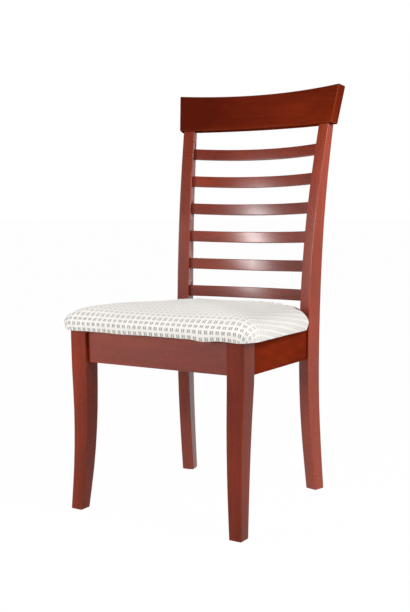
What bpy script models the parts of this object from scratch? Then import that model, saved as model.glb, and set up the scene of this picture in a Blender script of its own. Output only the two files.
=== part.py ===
"""A wooden dining chair: sabre legs, a raked back with six bowed slats under a crest rail, a padded seat.

Units are metres and +Z is up. The chair faces -Y. The origin lies on the floor under the middle of the
chair's bounding box. Left and right are those of someone who looks at the chair from the front.
"""

import math

import bmesh
import bpy
from mathutils import Matrix, Vector

# Clearances
GAP = 0.0003
BORE_END = 0.001
NOTCH_GAP = 0.0015
CUTTER_SPARE = 0.004
SAW_SPARE = 0.020

# Curve sampling and shading
CURVE_STEP = 0.01
SHARP_ANGLE = math.radians(35)
CORNER_ANGLE = math.radians(40)

# Layout in plan
FRONT_FACE_Y = -0.2470
FRONT_WIDTH = 0.462
POST_X = 0.1751
POST_SETBACK = 0.3757
POST_TURN = math.radians(14.2)

# Seat frame
RAIL_TOP_Z = 0.4162
SEAT_PIVOT_Y = FRONT_FACE_Y + 0.030
SEAT_SLOPE = math.radians(2.85)
RAIL_HEIGHT = 0.072
RAIL_THICKNESS = 0.022
RAIL_EDGE = 0.001
FRONT_APRON_SET = 0.0087
SIDE_APRON_SET = 0.006
REAR_APRON_SET = 0.009

# Legs and posts
GLIDE_RADIUS = 0.009
GLIDE_THICKNESS = 0.002
GLIDE_EDGE = 0.001
GLIDE_NAIL_RADIUS = 0.001
GLIDE_NAIL_LENGTH = 0.013
GLIDE_NAIL_POINT = 0.002
FOOT_Z = GLIDE_THICKNESS + GAP
LEG_SQUARE = 0.0435
LEG_TAPER_TOP_Z = RAIL_TOP_Z - RAIL_HEIGHT - GAP
# Each row is a height, the outer face's set inward, the front face's stand forward, and the square
FRONT_LEG_STATIONS = (
    (0.000, 0.0017, 0.0166, 0.0302),
    (0.110, 0.0055, 0.0076, 0.0352),
    (0.220, 0.0052, 0.0022, 0.0394),
    (LEG_TAPER_TOP_Z, 0.0000, 0.0000, LEG_SQUARE),
)
POST_THICKNESS = 0.0306
# Each row is a height, how far the front face is behind its place at the seat, and the depth
BACK_POST_STATIONS = (
    (0.000, 0.0229, 0.0307),
    (0.100, 0.0100, 0.0352),
    (0.200, 0.0004, 0.0388),
    (0.300, -0.0030, 0.0406),
    (0.420, 0.0000, 0.0408),
    (0.540, 0.0092, 0.0383),
    (0.660, 0.0247, 0.0334),
    (0.780, 0.0472, 0.0268),
    (0.900, 0.0752, 0.0198),
)
LEG_EDGE = 0.0022
LEG_RINGS = 9
POST_RINGS = 18

# Crest rail
CREST_BOTTOM_Z = 0.8939
CREST_FACE_HEIGHT = 0.0872
CREST_SET = -0.0089
CREST_TILT = math.radians(12.9)
CREST_HALF = POST_X + 0.0418
CREST_FLARE = 0.011
CREST_BOW = 0.0289
CREST_TOP_BOW = 0.0024
CREST_THICKNESS = 0.0247
CREST_ARCH = 0.0047
CREST_TOP_DIP = 0.0016
CREST_EDGE = 0.003
CREST_RINGS = 20

# Slats
SLAT_COUNT = 6
TOP_SLAT_DROP = 0.0655
LOW_SLAT_RISE = 0.0625
SLAT_HEIGHT = 0.0276
SLAT_THICKNESS = 0.009
SLAT_BOW = 0.0284
SLAT_SET = 0.0093
SLAT_EDGE = 0.0018
SLAT_RINGS = 12
TENON_SHOULDER = 0.0016
TENON_LENGTH = 0.012

# Dowels
DOWEL_RADIUS = 0.004
DOWEL_CHAMFER = 0.001
DOWEL_DEPTH = 0.018
POST_DOWEL_DEPTH = 0.014
CROSS_DOWEL_RISES = (0.012, 0.042)
SIDE_DOWEL_RISES = (0.027, 0.058)
CREST_DOWEL_SPACING = 0.015
CREST_DOWEL_SIGHT = 0.040
ROUND_SIDES = 10
GLIDE_SIDES = 16

# Corner blocks and screws
BLOCK_HEIGHT = 0.038
BLOCK_LEG = 0.055
SCREW_RADIUS = 0.002
SCREW_HEAD_RADIUS = 0.0042
SCREW_HEAD_HEIGHT = 0.0026
SCREW_HEAD_FLAT = 0.0025
SCREW_HEAD_RIM = 0.0009
SCREW_DRIVER_REACH = 0.080
SCREW_POINT = 0.006
SCREW_INTO_RAIL = 0.014
SCREW_WALL = 0.022
BLOCK_SCREW_INSET = 0.022
BLOCK_SCREW_STAGGER = 0.008
SEAT_SCREW_INSET = 0.009
SEAT_SCREW_RECESS = 0.008
SEAT_SCREW_INTO_BOARD = 0.0095

# Seat layers, as heights above the plane of the rails' tops
DUST_COVER_THICKNESS = 0.0005
FABRIC_THICKNESS = 0.001
FABRIC_BOTTOM = 2 * GAP + DUST_COVER_THICKNESS
FABRIC_RETURN = 0.028
BOARD_BOTTOM = FABRIC_BOTTOM + FABRIC_THICKNESS + GAP
BOARD_THICKNESS = 0.012
FOAM_BOTTOM = BOARD_BOTTOM + BOARD_THICKNESS + GAP
BOARD_INSET = 0.0048
LINING_START = 0.007
DUST_COVER_INSET = 0.024
SEAT_FRONT_OVERHANG = 0.0146
SEAT_SIDE_OVERHANG = 0.0200
SEAT_POST_OVERHANG = 0.0055
SEAT_REAR_DEPTH = 0.036
SEAT_EDGE_STEP = 0.085
FRONT_CORNER_RADIUS = 0.036
SIDE_CORNER_RADIUS = 0.0452
NOTCH_CORNER_RADIUS = 0.002
REAR_CORNER_RADIUS = 0.008
# Each row is a rise above the rails and how far the surface stands out from the pad's plan there
PAD_PROFILE = (
    (FABRIC_BOTTOM, -0.0005),
    (0.0080, 0.0013),
    (0.0160, 0.0039),
    (0.0240, 0.0034),
    (0.0323, -0.0025),
    (0.0417, -0.0125),
    (0.0491, -0.0300),
    (0.0560, -0.0600),
    (0.0612, -0.1020),
    (0.0646, -0.1450),
)
PAD_BULGE = max(out for _, out in PAD_PROFILE)
PARALLEL_INSET = 0.006
# The padding grows thicker to the rear by this much per metre, from one rise up to another
PAD_THICKENING = 0.0193
PAD_THICKENING_FROM = 0.016
PAD_THICKENING_FULL = 0.042


# Plan and section helpers


def read_stations(stations, height):
    """Reads a station table at a height, on a smooth curve through its rows."""
    index = 0
    while index < len(stations) - 2 and height > stations[index + 1][0]:
        index += 1
    before = stations[max(index - 1, 0)]
    low = stations[index]
    high = stations[index + 1]
    after = stations[min(index + 2, len(stations) - 1)]
    span = high[0] - low[0]
    t = (height - low[0]) / span
    values = []
    for column in range(1, len(low)):
        slope_low = (high[column] - before[column]) / (high[0] - before[0])
        slope_high = (after[column] - low[column]) / (after[0] - low[0])
        values.append(
            (2 * t**3 - 3 * t**2 + 1) * low[column]
            + (t**3 - 2 * t**2 + t) * span * slope_low
            + (3 * t**2 - 2 * t**3) * high[column]
            + (t**3 - t**2) * span * slope_high
        )
    return values


def seat_z(y, rise=0.0):
    """The height of the plane of the rails' tops at y, or of a plane parallel to it."""
    return RAIL_TOP_Z + rise - math.tan(SEAT_SLOPE) * (y - SEAT_PIVOT_Y)


def on_seat(x, y, rise):
    """A point at a rise above the rails' tops, square to their plane."""
    return Vector((x, y + rise * math.sin(SEAT_SLOPE), seat_z(y) + rise * math.cos(SEAT_SLOPE)))


def seat_normal():
    """The upward normal of the plane of the rails' tops."""
    return Vector((0.0, math.sin(SEAT_SLOPE), math.cos(SEAT_SLOPE)))


def post_axes(side):
    """The outward and the backward direction of a back post in plan."""
    outward = Vector((side * math.cos(POST_TURN), -math.sin(POST_TURN), 0.0))
    backward = Vector((side * math.sin(POST_TURN), math.cos(POST_TURN), 0.0))
    return outward, backward


def post_point(side, u, v, z):
    """A point u outward of a post's middle and v behind its front face's place at the seat."""
    outward, backward = post_axes(side)
    base = Vector((side * POST_X, FRONT_FACE_Y + POST_SETBACK, z))
    return base + outward * u + backward * v


def post_front(z):
    """How far the post's front face is behind its place at the seat."""
    return read_stations(BACK_POST_STATIONS, z)[0]


def side_line(side, inset):
    """A line in plan along the side apron, inset from its outer face, as a point and a direction."""
    start = Vector((side * (FRONT_WIDTH / 2 - SIDE_APRON_SET), FRONT_FACE_Y + LEG_SQUARE, 0.0))
    corner = post_point(side, POST_THICKNESS / 2, post_front(RAIL_TOP_Z - RAIL_HEIGHT / 2), 0.0)
    end = corner - Vector((side * SIDE_APRON_SET, 0.0, 0.0))
    direction = (end - start).normalized()
    inward = Vector((-side * direction.y, side * direction.x, 0.0))
    return start + inward * inset, direction


def side_line_at(side, inset, y):
    """The point at y on a line along the side apron."""
    start, direction = side_line(side, inset)
    return start + direction * ((y - start.y) / direction.y)


def side_line_at_post(side, inset, v):
    """The point where a line along the side apron meets a plane v behind the post's front face."""
    start, direction = side_line(side, inset)
    _, backward = post_axes(side)
    base = post_point(side, 0.0, v, 0.0)
    return start + direction * ((base - start).dot(backward) / direction.dot(backward))


def post_side_at(side, u, y):
    """The point at y on a plane u outward of the post's middle."""
    outward, _ = post_axes(side)
    base = post_point(side, u, 0.0, 0.0)
    return Vector((base.x - (y - base.y) * outward.y / outward.x, y, 0.0))


# Mesh helpers


def loft(bm, rings):
    """Extrudes a face through rings of points into a closed solid."""
    first = bm.faces.new([bm.verts.new(point) for point in rings[0]])
    face = first
    for ring in rings[1:]:
        extruded = bmesh.ops.extrude_face_region(bm, geom=[face])
        if face is not first:
            bmesh.ops.delete(bm, geom=[face], context="FACES_ONLY")
        face = next(item for item in extruded["geom"] if isinstance(item, bmesh.types.BMFace))
        for vert, point in zip(face.verts, ring):
            vert.co = point
    bmesh.ops.recalc_face_normals(bm, faces=bm.faces)


def turned(bm, profile, matrix, sides=ROUND_SIDES):
    """Turns a profile of radius and height about the matrix's Z axis and adds the closed solid."""
    solid = bmesh.new()
    verts = [solid.verts.new((radius, 0.0, height)) for radius, height in profile]
    edges = [solid.edges.new(pair) for pair in zip(verts, verts[1:])]
    bmesh.ops.spin(
        solid,
        geom=verts + edges,
        cent=(0.0, 0.0, 0.0),
        axis=(0.0, 0.0, 1.0),
        angle=math.tau,
        steps=sides,
        use_merge=True,
    )
    bmesh.ops.remove_doubles(solid, verts=solid.verts, dist=1e-6)
    bmesh.ops.recalc_face_normals(solid, faces=solid.faces)
    bmesh.ops.transform(solid, matrix=matrix, verts=solid.verts)
    mesh = bpy.data.meshes.new("turned")
    solid.to_mesh(mesh)
    solid.free()
    bm.from_mesh(mesh)
    bpy.data.meshes.remove(mesh)


def box(bm, size, matrix):
    """Adds a box of a size, placed by a matrix."""
    bmesh.ops.create_cube(bm, size=1.0, matrix=matrix @ Matrix.Diagonal((*size, 1.0)))


def aim(origin, axis):
    """A matrix at an origin with Z along an axis."""
    turn = Vector((0.0, 0.0, 1.0)).rotation_difference(axis).to_matrix().to_4x4()
    return Matrix.Translation(origin) @ turn


def round_edges(bm, width, segments=2):
    """Rounds every edge whose faces meet at more than the corner angle."""
    sharp = [edge for edge in bm.edges if edge.is_manifold and edge.calc_face_angle() > CORNER_ANGLE]
    bmesh.ops.bevel(
        bm,
        geom=sharp,
        offset=width,
        segments=segments,
        profile=0.5,
        affect="EDGES",
        clamp_overlap=True,
        material=-1,
    )


def slice_off(bm, point, normal):
    """Cuts away what lies beyond a plane and closes the cut."""
    everything = list(bm.verts) + list(bm.edges) + list(bm.faces)
    cut = bmesh.ops.bisect_plane(
        bm, geom=everything, dist=1e-6, plane_co=point, plane_no=normal, clear_outer=True
    )
    edges = [item for item in cut["geom_cut"] if isinstance(item, bmesh.types.BMEdge)]
    bmesh.ops.holes_fill(bm, edges=edges)
    bmesh.ops.recalc_face_normals(bm, faces=bm.faces)


def offset_outline(points, distance):
    """Moves a closed plan outline outward by a distance, square to its edges."""
    moved = []
    count = len(points)
    for index, point in enumerate(points):
        ahead = (points[(index + 1) % count] - point).normalized()
        behind = (point - points[index - 1]).normalized()
        normal = Vector((ahead.y + behind.y, -ahead.x - behind.x, 0.0)).normalized()
        stretch = max(normal.dot(Vector((ahead.y, -ahead.x, 0.0))), 0.5)
        moved.append(point + normal * distance / stretch)
    return moved


def rounded_outline(corners):
    """A closed plan outline through corners of a radius, with its long edges divided."""
    outline = []
    count = len(corners)
    for index, (corner, radius, steps) in enumerate(corners):
        to_last = (corners[index - 1][0] - corner).normalized()
        to_next = (corners[(index + 1) % count][0] - corner).normalized()
        half = to_last.angle(to_next) / 2
        centre = corner + (to_last + to_next).normalized() * radius / math.sin(half)
        start = corner + to_last * radius / math.tan(half) - centre
        end = corner + to_next * radius / math.tan(half) - centre
        sweep = start.angle(end)
        for step in range(steps + 1):
            t = step / steps
            arm = start * math.sin((1 - t) * sweep) + end * math.sin(t * sweep)
            outline.append(centre + arm / math.sin(sweep))
    divided = []
    for index, point in enumerate(outline):
        following = outline[(index + 1) % len(outline)]
        pieces = max(1, math.ceil((following - point).length / SEAT_EDGE_STEP))
        divided += [point.lerp(following, piece / pieces) for piece in range(pieces)]
    return divided


# Objects and materials


def finish(name, colour, roughness, metallic=0.0):
    """A plain material with a colour, a roughness and a metallic value."""
    material = bpy.data.materials.get(name)
    if material:
        return material
    material = bpy.data.materials.new(name)
    material.use_nodes = True
    shader = material.node_tree.nodes["Principled BSDF"]
    shader.inputs["Base Color"].default_value = (*colour, 1.0)
    shader.inputs["Roughness"].default_value = roughness
    shader.inputs["Metallic"].default_value = metallic
    return material


def cherry():
    return finish("cherry_lacquer", (0.17, 0.032, 0.014), 0.32)


def beech():
    return finish("beech", (0.55, 0.38, 0.22), 0.6)


def plywood():
    return finish("plywood", (0.50, 0.36, 0.21), 0.65)


def woven_fabric():
    return finish("woven_fabric", (0.72, 0.69, 0.64), 0.9)


def foam():
    return finish("foam", (0.80, 0.74, 0.55), 0.95)


def dust_cloth():
    return finish("dust_cloth", (0.03, 0.03, 0.03), 0.9)


def zinc():
    return finish("zinc", (0.60, 0.58, 0.52), 0.35, 1.0)


def nylon():
    return finish("nylon", (0.09, 0.07, 0.06), 0.45)


def add_object(name, bm, material, frame=None, parent=None):
    """Makes an object from a mesh in world space, with its own origin and turn given by a frame."""
    frame = frame or Matrix.Identity(4)
    mesh = bpy.data.meshes.new(name)
    bm.to_mesh(mesh)
    bm.free()
    mesh.transform(frame.inverted())
    mesh.materials.append(material)
    mesh.shade_smooth()
    mesh.set_sharp_from_angle(angle=SHARP_ANGLE)
    piece = bpy.data.objects.new(name, mesh)
    bpy.context.collection.objects.link(piece)
    piece.matrix_world = frame
    if parent:
        piece.parent = parent
        piece.matrix_parent_inverse = parent.matrix_world.inverted()
    return piece


def add_empty(name, frame):
    """Makes an empty that pieces hang on."""
    empty = bpy.data.objects.new(name, None)
    bpy.context.collection.objects.link(empty)
    empty.matrix_world = frame
    return empty


class Cuts:
    """Collects the tools that cut each piece, as one hidden mesh for each."""

    def __init__(self):
        self.tools = {}

    def tool(self, name):
        """The mesh that cuts a piece."""
        return self.tools.setdefault(name, bmesh.new())

    def apply(self, pieces):
        """Gives every piece with tools a Boolean that takes them out."""
        for name, bm in self.tools.items():
            mesh = bpy.data.meshes.new(name + "_cutter")
            bm.to_mesh(mesh)
            bm.free()
            cutter = bpy.data.objects.new(name + "_cutter", mesh)
            bpy.context.collection.objects.link(cutter)
            cutter.hide_render = True
            cutter.display_type = "WIRE"
            modifier = pieces[name].modifiers.new("cuts", "BOOLEAN")
            modifier.operation = "DIFFERENCE"
            modifier.solver = "EXACT"
            modifier.object = cutter


# Legs, posts and rails


def front_leg_ring(side, z):
    """The four corners of a front leg's section."""
    set_in, forward, square = read_stations(FRONT_LEG_STATIONS, min(z, LEG_TAPER_TOP_Z))
    outer = side * (FRONT_WIDTH / 2 - set_in)
    inner = outer - side * square
    front = FRONT_FACE_Y - forward
    back = front + square
    corners = ((outer, front), (outer, back), (inner, back), (inner, front))
    return [Vector((x, y, z)) for x, y in corners]


def front_leg(side):
    """A square leg that tapers from the aprons down and sweeps forward at the foot."""
    bm = bmesh.new()
    top = seat_z(FRONT_FACE_Y) + LEG_EDGE
    heights = [FOOT_Z + (top - FOOT_Z) * step / LEG_RINGS for step in range(LEG_RINGS + 1)]
    loft(bm, [front_leg_ring(side, z) for z in heights])
    slice_off(bm, on_seat(0.0, FRONT_FACE_Y, 0.0), seat_normal())
    round_edges(bm, LEG_EDGE)
    return bm


def foot_centre(ring):
    """The middle of a leg's end."""
    return sum(ring, Vector()) / len(ring)


def post_ring(side, z):
    """The four corners of a back post's section."""
    front, depth = read_stations(BACK_POST_STATIONS, z)
    half = POST_THICKNESS / 2
    corners = ((half, front), (half, front + depth), (-half, front + depth), (-half, front))
    return [post_point(side, u, v, z) for u, v in corners]


def back_post(side):
    """A back leg and upright in one piece, sawn to a double curve from a board of even thickness."""
    bm = bmesh.new()
    top = CREST_BOTTOM_Z + SAW_SPARE
    heights = [FOOT_Z + (top - FOOT_Z) * step / POST_RINGS for step in range(POST_RINGS + 1)]
    loft(bm, [post_ring(side, z) for z in heights])
    seat, normal = crest_seat(side)
    slice_off(bm, seat - normal * GAP, normal)
    round_edges(bm, LEG_EDGE)
    return bm


def crest_end_y():
    """Where the crest rail's face would stand at its ends."""
    return post_point(1, 0.0, post_front(CREST_BOTTOM_Z), 0.0).y + CREST_SET


def crest_point(s, depth, h):
    """A point of the crest rail, at shares s of its half length and h of its height, behind its face."""
    back = Vector((0.0, math.cos(CREST_TILT), -math.sin(CREST_TILT)))
    up = Vector((0.0, math.sin(CREST_TILT), math.cos(CREST_TILT)))
    along = Vector((1.0, 0.0, 0.0))
    reach = CREST_HALF + CREST_FLARE * h
    bow = CREST_BOW + CREST_TOP_BOW * h
    low = -CREST_ARCH * s**2
    high = CREST_FACE_HEIGHT + CREST_TOP_DIP * s**2
    normal = (along * (2 * bow * s / reach) + back).normalized()
    base = Vector((0.0, crest_end_y(), CREST_BOTTOM_Z))
    curve = along * s * reach + back * bow * (1 - s**2)
    return base + curve + up * (low + (high - low) * h) + normal * depth


def crest_seat(side):
    """The point and the upward normal of the crest rail's underside over a post."""
    front, depth = read_stations(BACK_POST_STATIONS, CREST_BOTTOM_Z)
    middle = post_point(side, 0.0, front + depth / 2, CREST_BOTTOM_Z)
    s = middle.x / CREST_HALF
    half = CREST_THICKNESS / 2
    seat = crest_point(s, half, 0.0)
    along = crest_point(s + CURVE_STEP, half, 0.0) - crest_point(s - CURVE_STEP, half, 0.0)
    across = crest_point(s, CREST_THICKNESS, 0.0) - crest_point(s, 0.0, 0.0)
    return seat, along.cross(across).normalized()


def crest_rail():
    """The bowed and tilted top rail, deeper at its ends, with ends square to its curve."""
    bm = bmesh.new()
    corners = ((0.0, 0.0), (CREST_THICKNESS, 0.0), (CREST_THICKNESS, 1.0), (0.0, 1.0))
    stations = [2 * step / CREST_RINGS - 1 for step in range(CREST_RINGS + 1)]
    loft(bm, [[crest_point(s, depth, h) for depth, h in corners] for s in stations])
    round_edges(bm, CREST_EDGE, segments=3)
    return bm


def cross_apron_ring(side, front, inner_x):
    """The end of an apron that runs across the chair, where inner_x gives the end's place at y."""
    back = front + RAIL_THICKNESS
    corners = ((front, -RAIL_HEIGHT), (back, -RAIL_HEIGHT), (back, 0.0), (front, 0.0))
    return [Vector((inner_x(side, y), y, seat_z(y, rise))) for y, rise in corners]


def leg_inner_x(side, _y=0.0):
    """The front leg's inner face at any y, less the gap."""
    return side * (FRONT_WIDTH / 2 - LEG_SQUARE - GAP)


def post_inner_x(side, y):
    """The back post's inner face at y, less the gap."""
    return post_side_at(side, -POST_THICKNESS / 2 - GAP, y).x


def front_apron_y():
    return FRONT_FACE_Y + FRONT_APRON_SET


def rear_apron_y():
    corner = post_point(1, -POST_THICKNESS / 2, post_front(RAIL_TOP_Z - RAIL_HEIGHT / 2), 0.0)
    return corner.y + REAR_APRON_SET


def cross_apron(front, inner_x):
    """An apron across the chair, with its edges planed to the seat's slope."""
    bm = bmesh.new()
    loft(bm, [cross_apron_ring(side, front, inner_x) for side in (-1, 1)])
    round_edges(bm, RAIL_EDGE, segments=1)
    return bm


def side_apron(side):
    """An apron along a side, with its rear end cut to the turned post's face."""
    bm = bmesh.new()
    front_y = FRONT_FACE_Y + LEG_SQUARE + GAP
    corners = ((0.0, -RAIL_HEIGHT), (RAIL_THICKNESS, -RAIL_HEIGHT), (RAIL_THICKNESS, 0.0), (0.0, 0.0))
    front_ring = []
    rear_ring = []
    for inset, rise in corners:
        near = side_line_at(side, inset, front_y)
        front_ring.append(Vector((near.x, near.y, seat_z(near.y, rise))))
        height = seat_z(FRONT_FACE_Y + POST_SETBACK, rise)
        far = side_line_at_post(side, inset, post_front(height) - 2 * GAP)
        rear_ring.append(Vector((far.x, far.y, seat_z(far.y, rise))))
    loft(bm, [front_ring, rear_ring])
    round_edges(bm, RAIL_EDGE, segments=1)
    return bm


# Slats


def slat_frame(index):
    """A slat's middle height, its end's place and the tilt that follows the posts' rake."""
    top = CREST_BOTTOM_Z - TOP_SLAT_DROP
    low = RAIL_TOP_Z + LOW_SLAT_RISE
    height = top - index * (top - low) / (SLAT_COUNT - 1)
    lean = post_front(height + CURVE_STEP) - post_front(height - CURVE_STEP)
    slope = lean / (2 * CURVE_STEP) * math.cos(POST_TURN)
    end = post_point(1, -POST_THICKNESS / 2 - GAP, post_front(height) + SLAT_SET, height)
    return height, end, math.atan(slope)


def slat_point(index, s, depth, rise):
    """A point of a slat, at s of its half length, at a depth behind its face and a rise up its face."""
    height, end, tilt = slat_frame(index)
    back = Vector((0.0, math.cos(tilt), -math.sin(tilt)))
    up = Vector((0.0, math.sin(tilt), math.cos(tilt)))
    along = Vector((1.0, 0.0, 0.0))
    normal = (along * (2 * SLAT_BOW * s / end.x) + back).normalized()
    base = Vector((0.0, end.y, height))
    return base + along * s * end.x + back * SLAT_BOW * (1 - s**2) + up * rise + normal * depth


def slat_ring(index, s):
    """The four corners of a slat's section, with the end ones moved onto the post's inner face."""
    half = SLAT_HEIGHT / 2
    corners = ((0.0, -half), (SLAT_THICKNESS, -half), (SLAT_THICKNESS, half), (0.0, half))
    ring = [slat_point(index, s, depth, rise) for depth, rise in corners]
    if abs(s) < 1:
        return ring
    side = int(s)
    outward, _ = post_axes(side)
    face = post_point(side, -POST_THICKNESS / 2 - GAP, 0.0, 0.0)
    landed = []
    for (depth, rise), point in zip(corners, ring):
        tangent = point - slat_point(index, s * (1 - CURVE_STEP), depth, rise)
        landed.append(point + tangent * ((face - point).dot(outward) / tangent.dot(outward)))
    return landed


def slat(index, cuts):
    """A bowed slat with a tenon at each end, and the mortises that take them."""
    bm = bmesh.new()
    stations = [2 * step / SLAT_RINGS - 1 for step in range(SLAT_RINGS + 1)]
    loft(bm, [slat_ring(index, s) for s in stations])
    ends = [face for face in bm.faces if abs(face.normal.x) > 0.9]
    end_edges = {edge for face in ends for edge in face.edges}
    arrises = [
        edge
        for edge in bm.edges
        if edge not in end_edges and edge.calc_face_angle() > CORNER_ANGLE
    ]
    bmesh.ops.bevel(
        bm, geom=arrises, offset=SLAT_EDGE, segments=2, profile=0.5, affect="EDGES", material=-1
    )
    _, _, tilt = slat_frame(index)
    up = Vector((0.0, math.sin(tilt), math.cos(tilt)))
    for side in (-1, 1):
        outward, _ = post_axes(side)
        end = next(face for face in bm.faces if face.normal.dot(outward) > 0.999)
        bmesh.ops.inset_individual(bm, faces=[end], thickness=TENON_SHOULDER, depth=0.0)
        extruded = bmesh.ops.extrude_face_region(bm, geom=[end])
        bmesh.ops.delete(bm, geom=[end], context="FACES_ONLY")
        tip = [item for item in extruded["geom"] if isinstance(item, bmesh.types.BMVert)]
        root = [vert.co.copy() for vert in tip]
        bmesh.ops.translate(bm, vec=outward * TENON_LENGTH, verts=tip)
        name = "back_post_left" if side < 0 else "back_post_right"
        mortise(cuts.tool(name), root, outward, up)
    bmesh.ops.recalc_face_normals(bm, faces=bm.faces)
    return bm


def mortise(tool, root, outward, up):
    """Adds the box that takes a tenon whose root outline is given."""
    height_axis = (up - outward * up.dot(outward)).normalized()
    width_axis = height_axis.cross(outward)
    heights = [point.dot(height_axis) for point in root]
    widths = [point.dot(width_axis) for point in root]
    start = root[0].dot(outward) - CUTTER_SPARE
    end = root[0].dot(outward) + TENON_LENGTH + BORE_END
    centre = (
        outward * (start + end) / 2
        + height_axis * (min(heights) + max(heights)) / 2
        + width_axis * (min(widths) + max(widths)) / 2
    )
    turn = Matrix((outward, width_axis, height_axis)).transposed().to_4x4()
    size = (end - start, max(widths) - min(widths) + 2 * GAP, max(heights) - min(heights) + 2 * GAP)
    box(tool, size, Matrix.Translation(centre) @ turn)


# Dowels


def dowel(start, axis, depth):
    """A dowel across a joint face at start, to a depth in the second piece, with its bore's profile."""
    low = -DOWEL_DEPTH
    high = depth
    body = (
        (0.0, low),
        (DOWEL_RADIUS - DOWEL_CHAMFER, low),
        (DOWEL_RADIUS, low + DOWEL_CHAMFER),
        (DOWEL_RADIUS, high - DOWEL_CHAMFER),
        (DOWEL_RADIUS - DOWEL_CHAMFER, high),
        (0.0, high),
    )
    bore = (
        (0.0, low - BORE_END),
        (DOWEL_RADIUS + GAP, low - BORE_END),
        (DOWEL_RADIUS + GAP, high + BORE_END),
        (0.0, high + BORE_END),
    )
    return body, bore, aim(start, axis)


def apron_joints():
    """The aprons' dowels, each as its two pieces, its joint face's point, its axis and its depth."""
    joints = []
    for side, word in ((-1, "left"), (1, "right")):
        leg = "front_leg_" + word
        post = "back_post_" + word
        rail = "side_apron_" + word
        across = Vector((side, 0.0, 0.0))
        front_mid = front_apron_y() + RAIL_THICKNESS / 2
        rear_mid = rear_apron_y() + RAIL_THICKNESS / 2
        outward, _ = post_axes(side)
        _, along = side_line(side, 0.0)
        for rise in CROSS_DOWEL_RISES:
            drop = rise - RAIL_HEIGHT
            front = Vector((leg_inner_x(side), front_mid, seat_z(front_mid, drop)))
            joints.append(("front_apron", leg, front, across, DOWEL_DEPTH))
            rear = Vector((post_inner_x(side, rear_mid), rear_mid, seat_z(rear_mid, drop)))
            joints.append(("rear_apron", post, rear, outward, POST_DOWEL_DEPTH))
        for rise in SIDE_DOWEL_RISES:
            near = side_line_at(side, RAIL_THICKNESS / 2, FRONT_FACE_Y + LEG_SQUARE)
            near.z = seat_z(near.y, rise - RAIL_HEIGHT)
            joints.append((rail, leg, near, -along, DOWEL_DEPTH))
            height = seat_z(FRONT_FACE_Y + POST_SETBACK, rise - RAIL_HEIGHT)
            far = side_line_at_post(side, RAIL_THICKNESS / 2, post_front(height))
            far.z = height
            joints.append((rail, post, far, along, DOWEL_DEPTH))
    return joints


def crest_joints():
    """The crest rail's dowels, each as its two pieces, its joint face's point, its axis and its depth."""
    joints = []
    low_z = CREST_BOTTOM_Z - CREST_DOWEL_SIGHT
    for side, word in ((-1, "left"), (1, "right")):
        seat, normal = crest_seat(side)
        low_front, low_depth = read_stations(BACK_POST_STATIONS, low_z)
        top_front, top_depth = read_stations(BACK_POST_STATIONS, CREST_BOTTOM_Z)
        for offset in (-CREST_DOWEL_SPACING / 2, CREST_DOWEL_SPACING / 2):
            low = post_point(side, offset, low_front + low_depth / 2, low_z)
            high = post_point(side, offset, top_front + top_depth / 2, CREST_BOTTOM_Z)
            axis = (high - low).normalized()
            start = high + axis * ((seat - high).dot(normal) / axis.dot(normal))
            joints.append(("back_post_" + word, "crest_rail", start, axis, DOWEL_DEPTH))
    return joints


# Corner blocks, screws and glides


def block_outline(side, rear):
    """The plan of a corner block, notched round the leg or the post."""
    if rear:
        face_y = rear_apron_y() - GAP
        clear = post_front(seat_z(FRONT_FACE_Y + POST_SETBACK, -BLOCK_HEIGHT)) - GAP
        at_apron = post_side_at(side, -POST_THICKNESS / 2 - GAP, face_y)
        notch = post_point(side, -POST_THICKNESS / 2 - GAP, clear, 0.0)
        at_side = side_line_at_post(side, RAIL_THICKNESS + GAP, clear)
        side_end = side_line_at(side, RAIL_THICKNESS + GAP, at_side.y - BLOCK_LEG)
    else:
        face_y = front_apron_y() + RAIL_THICKNESS + GAP
        leg_back = FRONT_FACE_Y + LEG_SQUARE + GAP
        at_apron = Vector((leg_inner_x(side), face_y, 0.0))
        notch = Vector((leg_inner_x(side), leg_back, 0.0))
        at_side = side_line_at(side, RAIL_THICKNESS + GAP, leg_back)
        side_end = side_line_at(side, RAIL_THICKNESS + GAP, leg_back + BLOCK_LEG)
    apron_end = at_apron - Vector((side * BLOCK_LEG, 0.0, 0.0))
    return [at_apron, apron_end, side_end, at_side, notch]


def corner_block(side, rear):
    """A glued corner block under the seat, with its top and bottom parallel to the seat."""
    bm = bmesh.new()
    outline = block_outline(side, rear)
    rings = [[Vector((p.x, p.y, seat_z(p.y, rise))) for p in outline] for rise in (-BLOCK_HEIGHT, 0.0)]
    loft(bm, rings)
    return bm


def screw(length):
    """A pan head wood screw's profile, with its head's seat at zero, and the bore that takes it."""
    body = (
        (0.0, -SCREW_HEAD_HEIGHT),
        (SCREW_HEAD_FLAT, -SCREW_HEAD_HEIGHT),
        (SCREW_HEAD_RADIUS, -SCREW_HEAD_RIM),
        (SCREW_HEAD_RADIUS, 0.0),
        (SCREW_RADIUS, 0.0),
        (SCREW_RADIUS, length - SCREW_POINT),
        (0.0, length),
    )
    bore = (
        (0.0, -SCREW_DRIVER_REACH),
        (SCREW_HEAD_RADIUS + GAP, -SCREW_DRIVER_REACH),
        (SCREW_HEAD_RADIUS + GAP, GAP),
        (SCREW_RADIUS + GAP, GAP),
        (SCREW_RADIUS + GAP, length + BORE_END),
        (0.0, length + BORE_END),
    )
    return body, bore


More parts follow.
